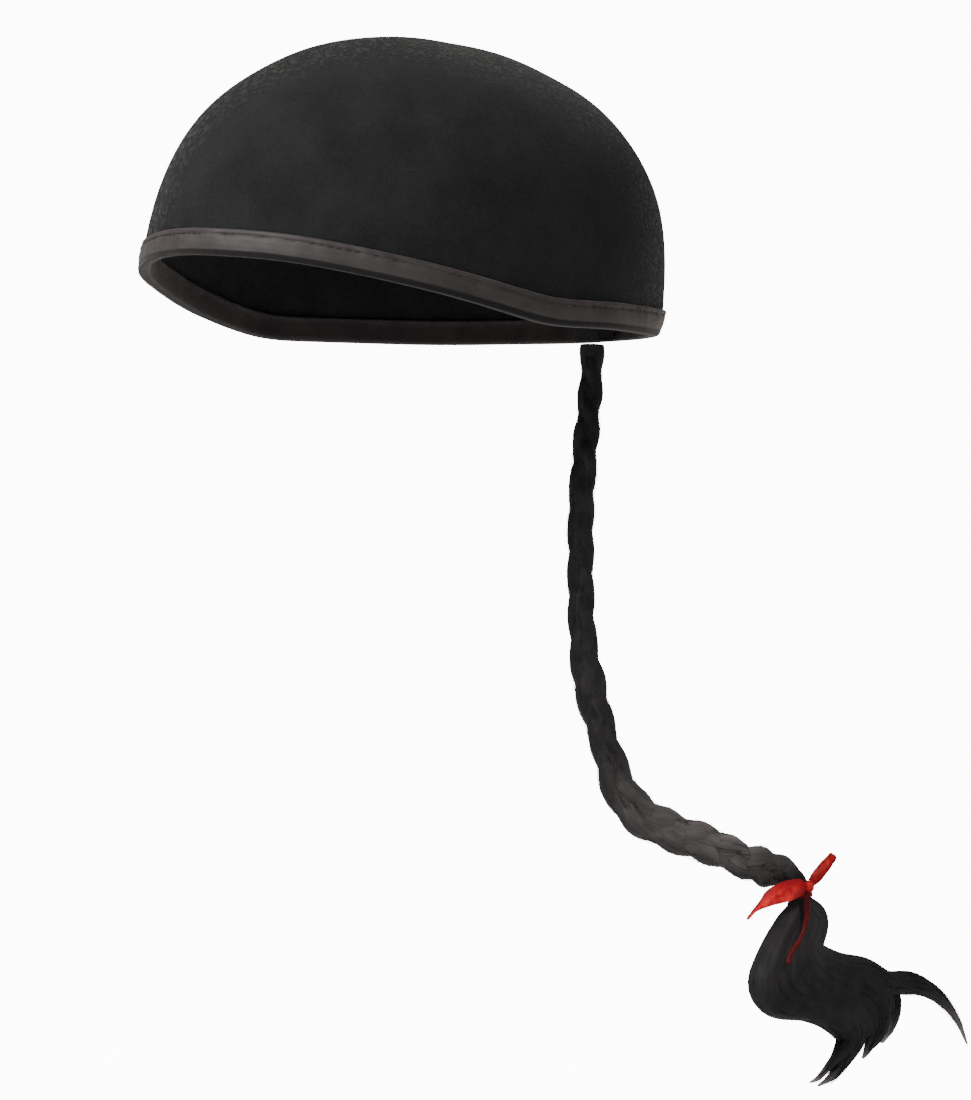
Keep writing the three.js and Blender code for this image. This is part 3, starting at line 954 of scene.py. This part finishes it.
class HAT_OT_band(Operator):
    """Folds the satin strip round the rim and sews it down."""

    bl_idname = "hat.bind_rim"
    bl_label = "Rim band"

    def execute(self, context):
        band = context.scene.hat_band
        fold = through(numbers(BAND_FOLD, "out above"), 3)
        mean_radius = 0.09
        girth = 2 * np.pi * mean_radius
        loose, uneven = 0.22 * MM, 0.2 * MM

        def place(u, v):
            angle = 2 * np.pi * u
            out, above = at_share(fold, v).T
            around = dome_spot(angle, rim_at(angle)) * (1, 1, 0)
            lifted = around + np.c_[u * 0, u * 0, above * 0.6]
            near_stitches = np.exp(-((above - STITCH_LINE["above"] * MM) / 0.0022) ** 2)
            creases = ripples(lifted, 0.0058, 11) * band.pucker * (0.35 + near_stitches)
            slack = ripples(lifted, 0.035, 12) * loose
            outside = np.where(out > 0, 1.0, 0.5)
            wander = ripples(around, 0.06, 13) * uneven
            return dome_spot(angle, rim_at(angle) + above + wander, -(out + (creases + slack) * outside))

        piece = grid("rim_satin", 420, len(fold) - 1, place)
        close_seams(piece)
        applied(piece, "SOLIDIFY", thickness=band.cloth, offset=0)
        finished(piece, band_material(tuple(band.colour), girth), "band_satin", "rim_band")
        self.sew(band, girth)
        return {"FINISHED"}

    def sew(self, band, girth):
        """The stitches that hold the strip down, one shape laid again and again round the rim."""
        count = round(girth / band.stitch_pitch)
        deep, high, slant = 0.17 * MM, 0.22 * MM, 0.1
        deselect()
        bpy.ops.mesh.primitive_uv_sphere_add(segments=8, ring_count=6, radius=1)
        first = bpy.context.object
        first.scale = (band.stitch_length / 2, deep, high)
        bpy.ops.object.transform_apply(location=False, rotation=False, scale=True)
        shape = corners(first)
        stitches = [first, *(twin(first) for _ in range(count - 1))]
        for k, stitch in enumerate(stitches):
            angle = 2 * np.pi * (k + np.array([0.5, 0.52])) / count
            spots = dome_spot(angle, rim_at(angle) + STITCH_LINE["above"] * MM, -STITCH_LINE["out"] * MM)
            along = unit(spots[1] - spots[0])
            up = unit(np.array([0.0, 0.0, 1.0]) - along * along[2])
            out = np.cross(along, up)
            turned = shape[:, :1] * (along + up * slant) + shape[:, 1:2] * out + shape[:, 2:] * up
            move_corners(stitch, spots[0] + turned)
        made, tree, shader = material("sewing thread", 0.6)
        twist = noise(tree, object_vector(tree), 6000.0, 2.0)
        feed(tree, shader, Base_Color=shade(tree, twist, (0.01, 0.009, 0.009), (0.03, 0.027, 0.026)))
        finished(joined("rim_stitches", stitches), made, "band_satin")


class HAT_OT_tab(Operator):
    """Makes the sewn cloth tab that the plait hangs from, inside the back of the rim."""

    bl_idname = "hat.sew_tab"
    bl_label = "Plait tab"

    def execute(self, context):
        low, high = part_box("braid_tab")
        edge, uneven, seam_depth = 1.1 * MM, 0.14 * MM, 0.3 * MM
        deselect()
        bpy.ops.mesh.primitive_cube_add(size=1, location=(low + high) / 2, scale=(high - low) * 0.97)
        piece = named("tab_cloth")
        bpy.ops.object.transform_apply(location=True, rotation=False, scale=True)
        bpy.ops.object.mode_set(mode="EDIT")
        bpy.ops.mesh.select_all(action="SELECT")
        bpy.ops.mesh.bevel(offset=edge, segments=3, affect="EDGES")
        bpy.ops.mesh.select_all(action="SELECT")
        bpy.ops.mesh.subdivide(number_cuts=3)
        bpy.ops.object.mode_set(mode="OBJECT")
        spots = corners(piece)
        middle, half = np.array((low + high) / 2), np.array((high - low) / 2)
        out = unit(spots - middle)
        inner = np.clip(1 - np.abs(spots - middle) / half, 0, 1)
        soft = ripples(spots, 0.005, 21) * uneven
        seam = np.exp(-((inner[:, 2] - 0.22) / 0.05) ** 2) * seam_depth
        move_corners(piece, spots + out * soft[:, None] - out * seam[:, None])
        finished(piece, bpy.data.materials["brushed black cloth"], "crown_cloth", "braid_tab")
        return {"FINISHED"}


# The plait


def plait_line(steps):
    """The plait's middle at equal steps of its length, its ways across, and its length, in metres."""
    plait = bpy.context.scene.hat_plait
    line = through(numbers(PLAIT_ROUTE, "x y z"), 24)
    run = np.r_[0, np.cumsum(np.linalg.norm(np.diff(line, axis=0), axis=1))]
    shares = np.linspace(0, 1, steps + 1)
    middle = np.c_[tuple(np.interp(shares * run[-1], run, line[:, k]) for k in range(3))]
    eased = np.clip(shares / plait.turned_by, 0, 1)
    turned = plait.facing * eased**2 * (3 - 2 * eased)
    return middle, *ways_across(middle, np.c_[np.sin(turned), -np.cos(turned), turned * 0]), run[-1]


def plait_size(shares, column):
    """The plait's width, or the length of one turn of its weave, in metres."""
    return np.interp(shares, PLAIT_SIZES["along"], PLAIT_SIZES[column]) * MM


def plait_end():
    """A function that puts spots beyond the plait's lower end, x and y across it."""
    middle, across, out, _ = plait_line(200)
    start, way = middle[-1], unit(middle[-1] - middle[-4])

    def spots(ahead, x, y):
        return start + way * ahead[:, None] + across[-1] * x[:, None] + out[-1] * y[:, None]

    return spots


def strand_offset(plait, index, turns, width):
    """Where a strand's middle lies across the plait, after this many turns of the weave."""
    turn = 2 * np.pi * (turns + index / 3 + plait.first_turn)
    return np.c_[width * plait.sway * np.sin(turn), width * plait.weave * np.sin(2 * turn)]


def strand_skin(plait, index, steps):
    """A function that gives a strand's surface round and along it, pressed flat against the others."""
    path = plait_line(steps)
    shares = np.linspace(0, 1, steps + 1)
    width = plait_size(shares, "width")
    turns = np.r_[0, np.cumsum(path[3] / steps / plait_size(shares[1:], "period"))]
    own = strand_offset(plait, index, turns, width)
    others = [strand_offset(plait, index + n, turns, width) - own for n in (1, 2)]

    def skin(u, v, groove):
        angle = 2 * np.pi * u
        offset = np.c_[np.sin(angle), np.cos(angle)] * (at_share(width, v) * plait.strand)[:, None]
        share = np.ones(len(u))
        for other in others:
            away = at_share(other, v)
            reach = np.linalg.norm(away, axis=1)
            towards = (offset * away).sum(1) / reach
            limit = (reach + at_share(width, v) * plait.press) / 2
            share = np.where(towards > 0, np.minimum(share, limit / np.maximum(towards, 1e-9)), share)
        offset = offset * (share * (1 + groove))[:, None] + at_share(own, v)
        return beside(path, v, *offset.T)

    return skin, path[3]


def plaited(name, around, along, place, comb, *nodes):
    """A piece of the plait, marked with how far each spot lies to its lower side, 1 at its edge, for painted
    shade.
    """
    piece = grid(name, around, along, place, comb)
    close_seams(piece)
    middle, across, _, _ = plait_line(120)
    half = plait_size(np.linspace(0, 1, 121), "width") / 2
    spots = corners(piece)
    near = np.linalg.norm(spots[:, None] - middle, axis=2).argmin(1)
    side = ((spots - middle[near]) * across[near]).sum(1) / half[near]
    piece.data.attributes.new("side", "FLOAT", "POINT").data.foreach_set("value", side)
    finished(piece, hair("plaited hair"), "hair", *nodes)


class HAT_OT_plait(Operator):
    """Plaits the three strands, each a combed lock with fine loose hairs over it."""

    bl_idname = "hat.weave_plait"
    bl_label = "Plait"

    def execute(self, context):
        plait = context.scene.hat_plait
        sunk = 0.02
        lines = []
        for index in range(3):
            skin, length = strand_skin(plait, index, 480)

            def place(u, v, skin=skin, seed=31 + index):
                along, ends = capped(v, 0.0015, 0.002)
                surface = skin(u, along, combed(u, along * 9, seed) * plait.grooves - sunk)
                centre = skin(u, along, np.full(len(u), -1.0))
                return centre + (surface - centre) * ends[:, None]

            comb = combing(0.003, index, length)
            plaited(f"plait_strand_{index + 1}", 44, 380, place, comb, f"strand_{index + 1}")
            lines += self.loose_lines(plait, skin, index)
        self.core(plait)
        lines += self.stray_lines(plait)
        fine_hairs("plait_hairs", lines, 0.0001, 37)
        return {"FINISHED"}

    def loose_lines(self, plait, skin, index):
        """Fine hairs that lie on a strand and slip under its neighbours."""
        chance = np.random.default_rng(50 + index)
        steps = 60
        share = np.linspace(0, 1, steps)
        lines = []
        for _ in range(plait.wisps):
            start = chance.uniform(0.0, 0.93)
            v = np.linspace(start, min(start + chance.uniform(0.08, 0.3), 0.995), steps)
            u = chance.uniform() + chance.uniform(-0.25, 0.25) * (v - start) / 0.2
            lift = 0.05 + chance.uniform(0, 0.1) * np.sin(np.pi * share) ** 2
            lift -= 0.3 * (np.abs(share - 0.5) > 0.46)
            lines.append(skin(u % 1.0, v, lift))
        return lines

    def core(self, plait):
        """The hair in the middle of the plait, which fills the grooves between its strands."""
        path = plait_line(300)
        width = plait_size(np.linspace(0, 1, 301), "width")
        grooves, flat = 0.03, 0.9

        def place(u, v):
            angle = 2 * np.pi * u
            along, ends = capped(v, 0.004, 0.006)
            size = at_share(width, along) * plait.core * (1 + combed(u, along * 9, 36) * grooves) * ends
            return beside(path, along, size * np.sin(angle), size * flat * np.cos(angle))

        plaited("plait_core", 40, 260, place, combing(0.004, 4, path[3]))

    def stray_lines(self, plait):
        """Fine hairs that lie along the outside of the plait, across its strands."""
        chance = np.random.default_rng(58)
        path = plait_line(480)
        width = plait_size(np.linspace(0, 1, 481), "width")
        steps, flat = 28, 0.85
        arch = 0.03 * np.sin(np.linspace(0, np.pi, steps))
        lines = []
        for _ in range(plait.strays):
            start = chance.uniform(0.01, 0.92)
            v = np.linspace(start, start + chance.uniform(0.03, 0.07), steps)
            angle = 2 * np.pi * (chance.uniform() + chance.uniform(-1.6, 1.6) * (v - start))
            size = at_share(width, v) * (chance.uniform(0.4, 0.47) + arch)
            lines.append(beside(path, v, size * np.cos(angle), size * flat * np.sin(angle)))
        return lines


# The loose hair. A lock is its middle line, its two ways across, and its half sizes, at close steps.


def lock_through(rows):
    """The lock that runs through these rows."""
    line = through(numbers(rows, "x y z"), 6)
    sizes = np.maximum(through(numbers(rows, "wide deep"), 6), 0.2 * MM)
    return line, *ways_across(line, (1.0, 0.0, 0.0)), sizes


def lock_between(one, other, share):
    """A lock that lies between two others, at a share of the way to the second."""
    steps = np.linspace(0, 1, 80)
    line, sizes = (at_share(one[k], steps) * (1 - share) + at_share(other[k], steps) * share for k in (0, 3))
    return line, *ways_across(line, (1.0, 0.0, 0.0)), sizes


class HAT_OT_loose_hair(Operator):
    """Combs the loose hair below the ribbon into locks of wisps and single hairs."""

    bl_idname = "hat.comb_loose_hair"
    bl_label = "Loose hair"

    def execute(self, context):
        loose = context.scene.hat_loose_hair
        chance = np.random.default_rng(71)
        flat = [
            grid("loose_hair", across, along, lambda u, v: np.c_[u - 0.5, v - 0.5, v * 0])
            for across, along in ((52, 72), (32, 48), (14, 56))
        ]
        broad, middling, slim = flat
        locks = [lock_through(rows) for rows in LOCKS]
        wisps, lines = [self.neck(broad)], []
        for number, lock in enumerate(locks):
            wisps.append(self.body(broad, lock, 1.0, 80 + number))
            for k in range(loose.wisps):
                angle = 2 * np.pi * (k + chance.uniform(-0.3, 0.3)) / loose.wisps
                away = chance.uniform(0.78, 0.86)
                end = chance.choice([1.0, 0.99, 0.97, 0.94], p=[0.4, 0.25, 0.2, 0.15])
                girth = chance.uniform(0.15, 0.22)
                wisps.append(self.wisp(slim, lock, angle, away, girth, end, 100 + len(wisps)))
            lines += [self.hair_line(lock, chance) for _ in range(loose.hairs)]
        for row in NEIGHBOURS:
            for n in range(row["bundles"]):
                share = (n + 1) / (row["bundles"] + 1)
                filling = lock_between(locks[row["one"]], locks[row["other"]], share)
                wisps.append(self.body(middling, filling, row["end"], 200 + len(wisps)))
        pick(*flat)
        bpy.ops.object.delete()
        piece = joined("loose_locks", wisps)
        close_seams(piece)
        finished(piece, hair("combed hair"), "hair", "tail")
        fine_hairs("loose_hairs", lines, loose.hair_radius, 73)
        return {"FINISHED"}

    def body(self, blank, lock, end, seed):
        """The body of a lock: one closed oval bundle with fine grooves, ending at a share of the length."""
        fullness, grooves, tapered = 0.97, 0.035, 0.16

        def place(u, v):
            angle = 2 * np.pi * u
            along, ends = capped(v, 0.004)
            along = along * end
            taper = 1.0 if end == 1.0 else np.clip((end - along) / tapered, 0, 1) ** 0.5
            size = fullness * (1 + combed(u, along * 2.4, seed) * grooves) * taper * ends
            wide, deep = (at_share(lock[3], along) * size[:, None]).T
            return beside(lock, along, wide * np.cos(angle), deep * np.sin(angle))

        return lay(twin(blank), place, combing(0.005, seed * 0.37, 0.12 * end))

    def wisp(self, blank, lock, angle, away, girth, end, seed):
        """One wisp of a lock: a tapered tube that lies at an angle round the lock's middle."""
        chance = np.random.default_rng(seed)
        twist, waves = chance.uniform(-0.6, 0.6), chance.uniform(1.5, 3.0)
        sway, drawn_in, grooves, tapered, tip, least = 0.3, 0.35, 0.1, 0.14, 0.07, 0.06 * MM

        def place(u, v):
            round_it = 2 * np.pi * u
            along, ends = capped(v, 0.01)
            along = along * end
            taper = np.clip((end - along) / tapered, 0, 1) ** 0.7 * (1 - tip) + tip
            wide, deep = at_share(lock[3], along).T
            turn = angle + twist * along + sway * np.sin(2 * np.pi * waves * along + seed) * away
            pull = away * (1 - drawn_in * (1 - taper))
            size = girth * taper * (1 + combed(u, along * 3, seed, (3, 5)) * grooves) * ends
            x = wide * pull * np.cos(turn) + (wide * size + least * ends) * np.cos(round_it)
            y = deep * pull * np.sin(turn) + (deep * size + least * ends) * np.sin(round_it)
            return beside(lock, along, x, y)

        return lay(twin(blank), place, combing(0.0014, seed * 0.37, 0.12 * end))

    def neck(self, blank):
        """The bound hair inside the ribbon, from the plait to the locks."""
        beyond = plait_end()
        length, narrow, flare, grooves = 8.5 * MM, 3.9 * MM, 0.9 * MM, 0.06

        def place(u, v):
            angle = 2 * np.pi * u
            run, ends = capped(v, 0.02)
            radius = (narrow + flare * run**2) * (1 + combed(u, run, 79, (5,)) * grooves) * ends
            return beyond(run * length, radius * np.sin(angle), radius * np.cos(angle))

        return lay(twin(blank), place, combing(0.004, 9, 0.008))

    def hair_line(self, lock, chance):
        """The path of a single hair along the outside of a lock, straying a little at its tip."""
        steps, stray = 46, 0.7 * MM
        start = chance.uniform(0.02, 0.6)
        along = np.linspace(start, min(0.93, start + chance.uniform(0.25, 0.75)), steps)
        share = np.linspace(0, 1, steps)
        turn = chance.uniform(0, 2 * np.pi) + chance.uniform(-0.8, 0.8) * share
        away = chance.uniform(0.86, 1.0) + chance.uniform(0.0, 0.12) * share**2
        away = away - 0.25 * (share < 0.04)
        wide, deep = at_share(lock[3], along).T
        strayed = share[:, None] ** 3 * chance.normal(size=3) * stray
        return beside(lock, along, wide * away * np.cos(turn), deep * away * np.sin(turn)) + strayed


# The ribbon

RIBBON_CREASE = math.radians(50)


def ribbon_leaf(name, rows, facing, thickness, seed):
    """A free end of ribbon, creased along its middle and rippled, with its own thickness."""
    line = through(numbers(rows, "x y z"), 8)
    wide, lift = through(numbers(rows, "wide lift"), 8).T
    path = (line, *ways_across(line, facing))
    least, waved, curled = 0.3 * MM, 0.35 * MM, 0.5 * MM

    def place(u, v):
        side = v * 2 - 1
        half = np.maximum(at_share(wide, u), least)
        crease = at_share(lift, u) * (1 - np.abs(side) ** 1.4)
        wave = ripples(np.c_[u * 0.03, side * 0.004], 0.009, seed) * waved * np.sin(np.pi * u)
        curl = np.where(side > 0, side**3, 0) * curled
        return beside(path, u, half * side, crease + wave - curl)

    piece = grid(name, 72, 16, place)
    close_seams(piece)
    applied(piece, "SOLIDIFY", thickness=thickness, offset=0)
    applied(piece, "BEVEL", width=0.08 * MM, segments=2, limit_method="ANGLE")
    return piece


class HAT_OT_ribbon(Operator):
    """Ties the red ribbon: its turns, its knot and its free ends."""

    bl_idname = "hat.tie_ribbon"
    bl_label = "Ribbon"

    def execute(self, context):
        ribbon = context.scene.hat_ribbon
        # Copies of one ribbon colour as painted light and shade: shaded on the turns and short end, lit on
        # the knot,
        # and brightest, with a painted highlight, on the long end.
        painted_shade_satin = ribbon_material("red satin, painted shade", 0.5, 1.1)
        self.wrap(ribbon, painted_shade_satin)
        self.knot(ribbon_material("red satin, painted light", 0.8, 1.7))
        long_end = ribbon_leaf("ribbon_leaf_long", LONG_END, (0.95, -0.3, 0.0), ribbon.cloth, 91)
        red_satin = ribbon_material("red satin", 0.65, 2.5)
        finished(long_end, red_satin, "ribbon_satin", "ribbon_end_long", crease=RIBBON_CREASE)
        short_end = ribbon_leaf("ribbon_leaf_short", SHORT_END, (0.9, -0.4, 0.1), ribbon.cloth, 92)
        finished(short_end, painted_shade_satin, "ribbon_satin", "ribbon_end_short", crease=RIBBON_CREASE)
        # The hanging end is a far darker copy of the ribbon's satin, in painted shade.
        self.string(ribbon_material("red satin, deep painted shade", 0.14, 0.26))
        return {"FINISHED"}

    def wrap(self, ribbon, satin):
        """Two turns of ribbon, crushed a little, that lie one over the other."""
        beyond = plait_end()
        slack, crushed, bulge = 0.22 * MM, 0.16 * MM, 0.12 * MM
        half = ribbon.wrap_height * 0.36
        turns = []
        for number, row in enumerate(RIBBON_TURNS):

            def place(u, v, row=row, number=number):
                angle = 2 * np.pi * u
                side = v * 2 - 1
                flat = np.c_[np.sin(angle) * 0.005, np.cos(angle) * 0.005, side * 0.004]
                uneven = ripples(flat, 0.004, 95 + number) * crushed + bulge * (1 - side**2)
                radius = ribbon.wrap_radius + slack + row["wider"] * MM + uneven
                tilted = np.sin(angle + number) * row["tilt"] * radius
                height = row["rise"] * MM + side * half + tilted
                return beyond(height, radius * np.sin(angle), radius * np.cos(angle))

            turn = grid("ribbon_turns", 72, 12, place)
            close_seams(turn)
            applied(turn, "SOLIDIFY", thickness=ribbon.cloth * 0.8, offset=0)
            turns.append(turn)
        finished(joined("ribbon_turns", turns), satin, "ribbon_satin", "ribbon_wrap", crease=RIBBON_CREASE)

    def knot(self, satin):
        """The knot: a pleated fold of ribbon drawn tight over the turns."""
        low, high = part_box("ribbon_knot")
        middle, half = np.array((low + high) / 2), np.array((high - low) / 2)
        deselect()
        bpy.ops.mesh.primitive_uv_sphere_add(segments=40, ring_count=24, radius=1, location=(0, 0, 0))
        piece = named("ribbon_tie")
        spots = corners(piece)
        height = np.abs(spots[:, 2])
        pleat = np.cos(spots[:, 1] * 9 + spots[:, 2] * 1.4) * 0.09 * (1 - np.clip(height, 0, 1) ** 3)
        pinch = 1 - 0.16 * np.exp(-((height - 0.72) / 0.16) ** 2)
        spots[:, 0] *= 1 + pleat
        spots[:, :2] *= pinch[:, None]
        spots[:, 2] = np.sign(spots[:, 2]) * height**0.8
        move_corners(piece, middle + spots * half * 0.98)
        finished(piece, satin, "ribbon_satin", "ribbon_knot")

    def string(self, satin):
        """The thin end of the ribbon that hangs down over the loose hair."""
        line = through(numbers(STRING_END, "x y z"), 8)
        (wide,) = through(numbers(STRING_END, "wide"), 8).T
        path = (line, *ways_across(line, (0.95, -0.3, 0.0)))

        def place(u, v):
            angle = 2 * np.pi * v
            run, ends = capped(u, 0.015)
            rolled = 0.3 * np.sin(run * 5)
            half = at_share(wide, run) * ends
            x, y = half * np.cos(angle), half * 0.42 * np.sin(angle) * (1 - 0.35 * np.cos(2 * angle))
            x, y = x * np.cos(rolled) - y * np.sin(rolled), x * np.sin(rolled) * 0.6 + y * np.cos(rolled)
            return beside(path, run, x, y)

        piece = grid("ribbon_string_end", 72, 14, place)
        close_seams(piece)
        finished(piece, satin, "ribbon_satin", "ribbon_string")


# The stage


def stand(context, name, data, place, away):
    """Stands a lamp or the camera in its place, with its back turned to away."""
    thing = bpy.data.objects.new(name, data)
    context.scene.collection.objects.link(thing)
    thing.location = place
    thing.rotation_euler = (-away).to_track_quat("-Z", "Y").to_euler()
    return thing


class HAT_OT_stage(Operator):
    """Sets the pale floor, the soft lamps and the camera."""

    bl_idname = "hat.set_stage"
    bl_label = "Stage"

    def execute(self, context):
        stage = context.scene.hat_stage
        right = Vector((math.cos(stage.azimuth), math.sin(stage.azimuth), 0))
        back = Vector((math.sin(stage.azimuth), -math.cos(stage.azimuth), 0))
        up = Vector((0, 0, 1))
        lens = bpy.data.cameras.new("camera")
        lens.lens = stage.lens
        lens.sensor_width = 36
        place = back * stage.distance + right * stage.aside + up * stage.height
        context.scene.camera = stand(context, "camera", lens, place, back)
        self.floor(stage)
        self.lamp(context, "key", back * 1.1 - right * 1.25 + up * 1.25, 1.3, stage.key)
        self.lamp(context, "fill", back * 1.3 + right * 1.5 + up * 0.3, 1.6, stage.fill)
        self.lamp(context, "top", up * 2.0 - back * 0.6 + right * 0.2, 1.5, stage.fill * 3)
        self.spot(context, stage, Vector((0, 0.16, -0.195)), up * 0.75 + right * 0.35 + back * 0.55)
        world = bpy.data.worlds.new("studio")
        context.scene.world = world
        world.use_nodes = True
        light = world.node_tree.nodes["Background"]
        light.inputs["Color"].default_value = (1, 1, 1, 1)
        light.inputs["Strength"].default_value = stage.sky
        return {"FINISHED"}

    def floor(self, stage):
        """A wide round floor that curves up into a wall, so that it has no edge."""
        flat, bend, wall = 6.0, 2.5, 2.0
        quarter = np.pi / 2

        def place(u, v):
            angle = 2 * np.pi * u
            run = v * (flat + bend * quarter + wall)
            turn = np.clip((run - flat) / bend, 0, quarter)
            radius = np.minimum(run, flat) + bend * np.sin(turn)
            height = bend * (1 - np.cos(turn)) + np.maximum(run - flat - bend * quarter, 0)
            return np.c_[radius * np.cos(angle), radius * np.sin(angle), stage.floor + height]

        piece = grid("studio_floor", 96, 60, place)
        close_seams(piece, inside=True)
        bpy.ops.object.shade_smooth()
        made, tree, shader = material("pale floor", 0.9, Emission_Color=(1, 1, 1, 1))
        seen = add(tree, "ShaderNodeLightPath").outputs["Is Camera Ray"]
        patches = noise(tree, object_vector(tree), 3.0, 2.0)
        feed(
            tree, shader,
            Base_Color=shade(tree, patches, (0.86, 0.86, 0.86), (0.9, 0.9, 0.9)),
            Emission_Strength=product(tree, seen, stage.glow),
        )
        piece.data.materials.append(made)
        piece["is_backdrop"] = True

    def lamp(self, context, name, place, size, power):
        """A soft round lamp that is turned to the hat."""
        light = bpy.data.lights.new(name, "AREA")
        light.shape = "DISK"
        light.size = size
        light.energy = power
        stand(context, name, light, place, place)

    def spot(self, context, stage, aim, away):
        """A small lamp above and to the right, on the lower plait alone."""
        light = bpy.data.lights.new("hair", "SPOT")
        light.energy = stage.spot
        light.spot_size = math.radians(12)
        light.spot_blend = 0.9
        light.shadow_soft_size = 0.12
        stand(context, "hair", light, aim + away.normalized(), away)


MAKERS = (
    HAT_OT_stage,
    HAT_OT_ribbon,
    HAT_OT_crown,
    HAT_OT_band,
    HAT_OT_tab,
    HAT_OT_plait,
    HAT_OT_loose_hair,
)


class HAT_PT_panel(Panel):
    """Lists the steps that make the hat, with their sizes."""

    bl_idname = "HAT_PT_panel"
    bl_label = "Mandarin hat"
    bl_space_type = "VIEW_3D"
    bl_region_type = "UI"
    bl_category = "Hat"

    def draw(self, context):
        for maker in MAKERS:
            self.layout.operator(maker.bl_idname)
        for name, settings in SETTINGS.items():
            box = self.layout.box()
            box.label(text=settings.__doc__)
            for size in settings.__annotations__:
                box.prop(getattr(context.scene, name), size)


def register():
    for made in (*SETTINGS.values(), *MAKERS, HAT_PT_panel):
        bpy.utils.register_class(made)
    for name, settings in SETTINGS.items():
        setattr(bpy.types.Scene, name, PointerProperty(type=settings))


def unregister():
    for name in SETTINGS:
        delattr(bpy.types.Scene, name)
    for made in reversed((*SETTINGS.values(), *MAKERS, HAT_PT_panel)):
        bpy.utils.unregister_class(made)


def main():
    register()
    bpy.ops.hat.set_stage()
    bpy.ops.hat.tie_ribbon()
    bpy.ops.hat.make_crown()
    bpy.ops.hat.bind_rim()
    bpy.ops.hat.sew_tab()
    bpy.ops.hat.weave_plait()
    bpy.ops.hat.comb_loose_hair()
    boxes = {"cad": CAD_BOX, "visual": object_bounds()}
    {name: [list(low), list(high)] for name, (low, high) in boxes.items()}


if __name__ == "__main__":
    main()
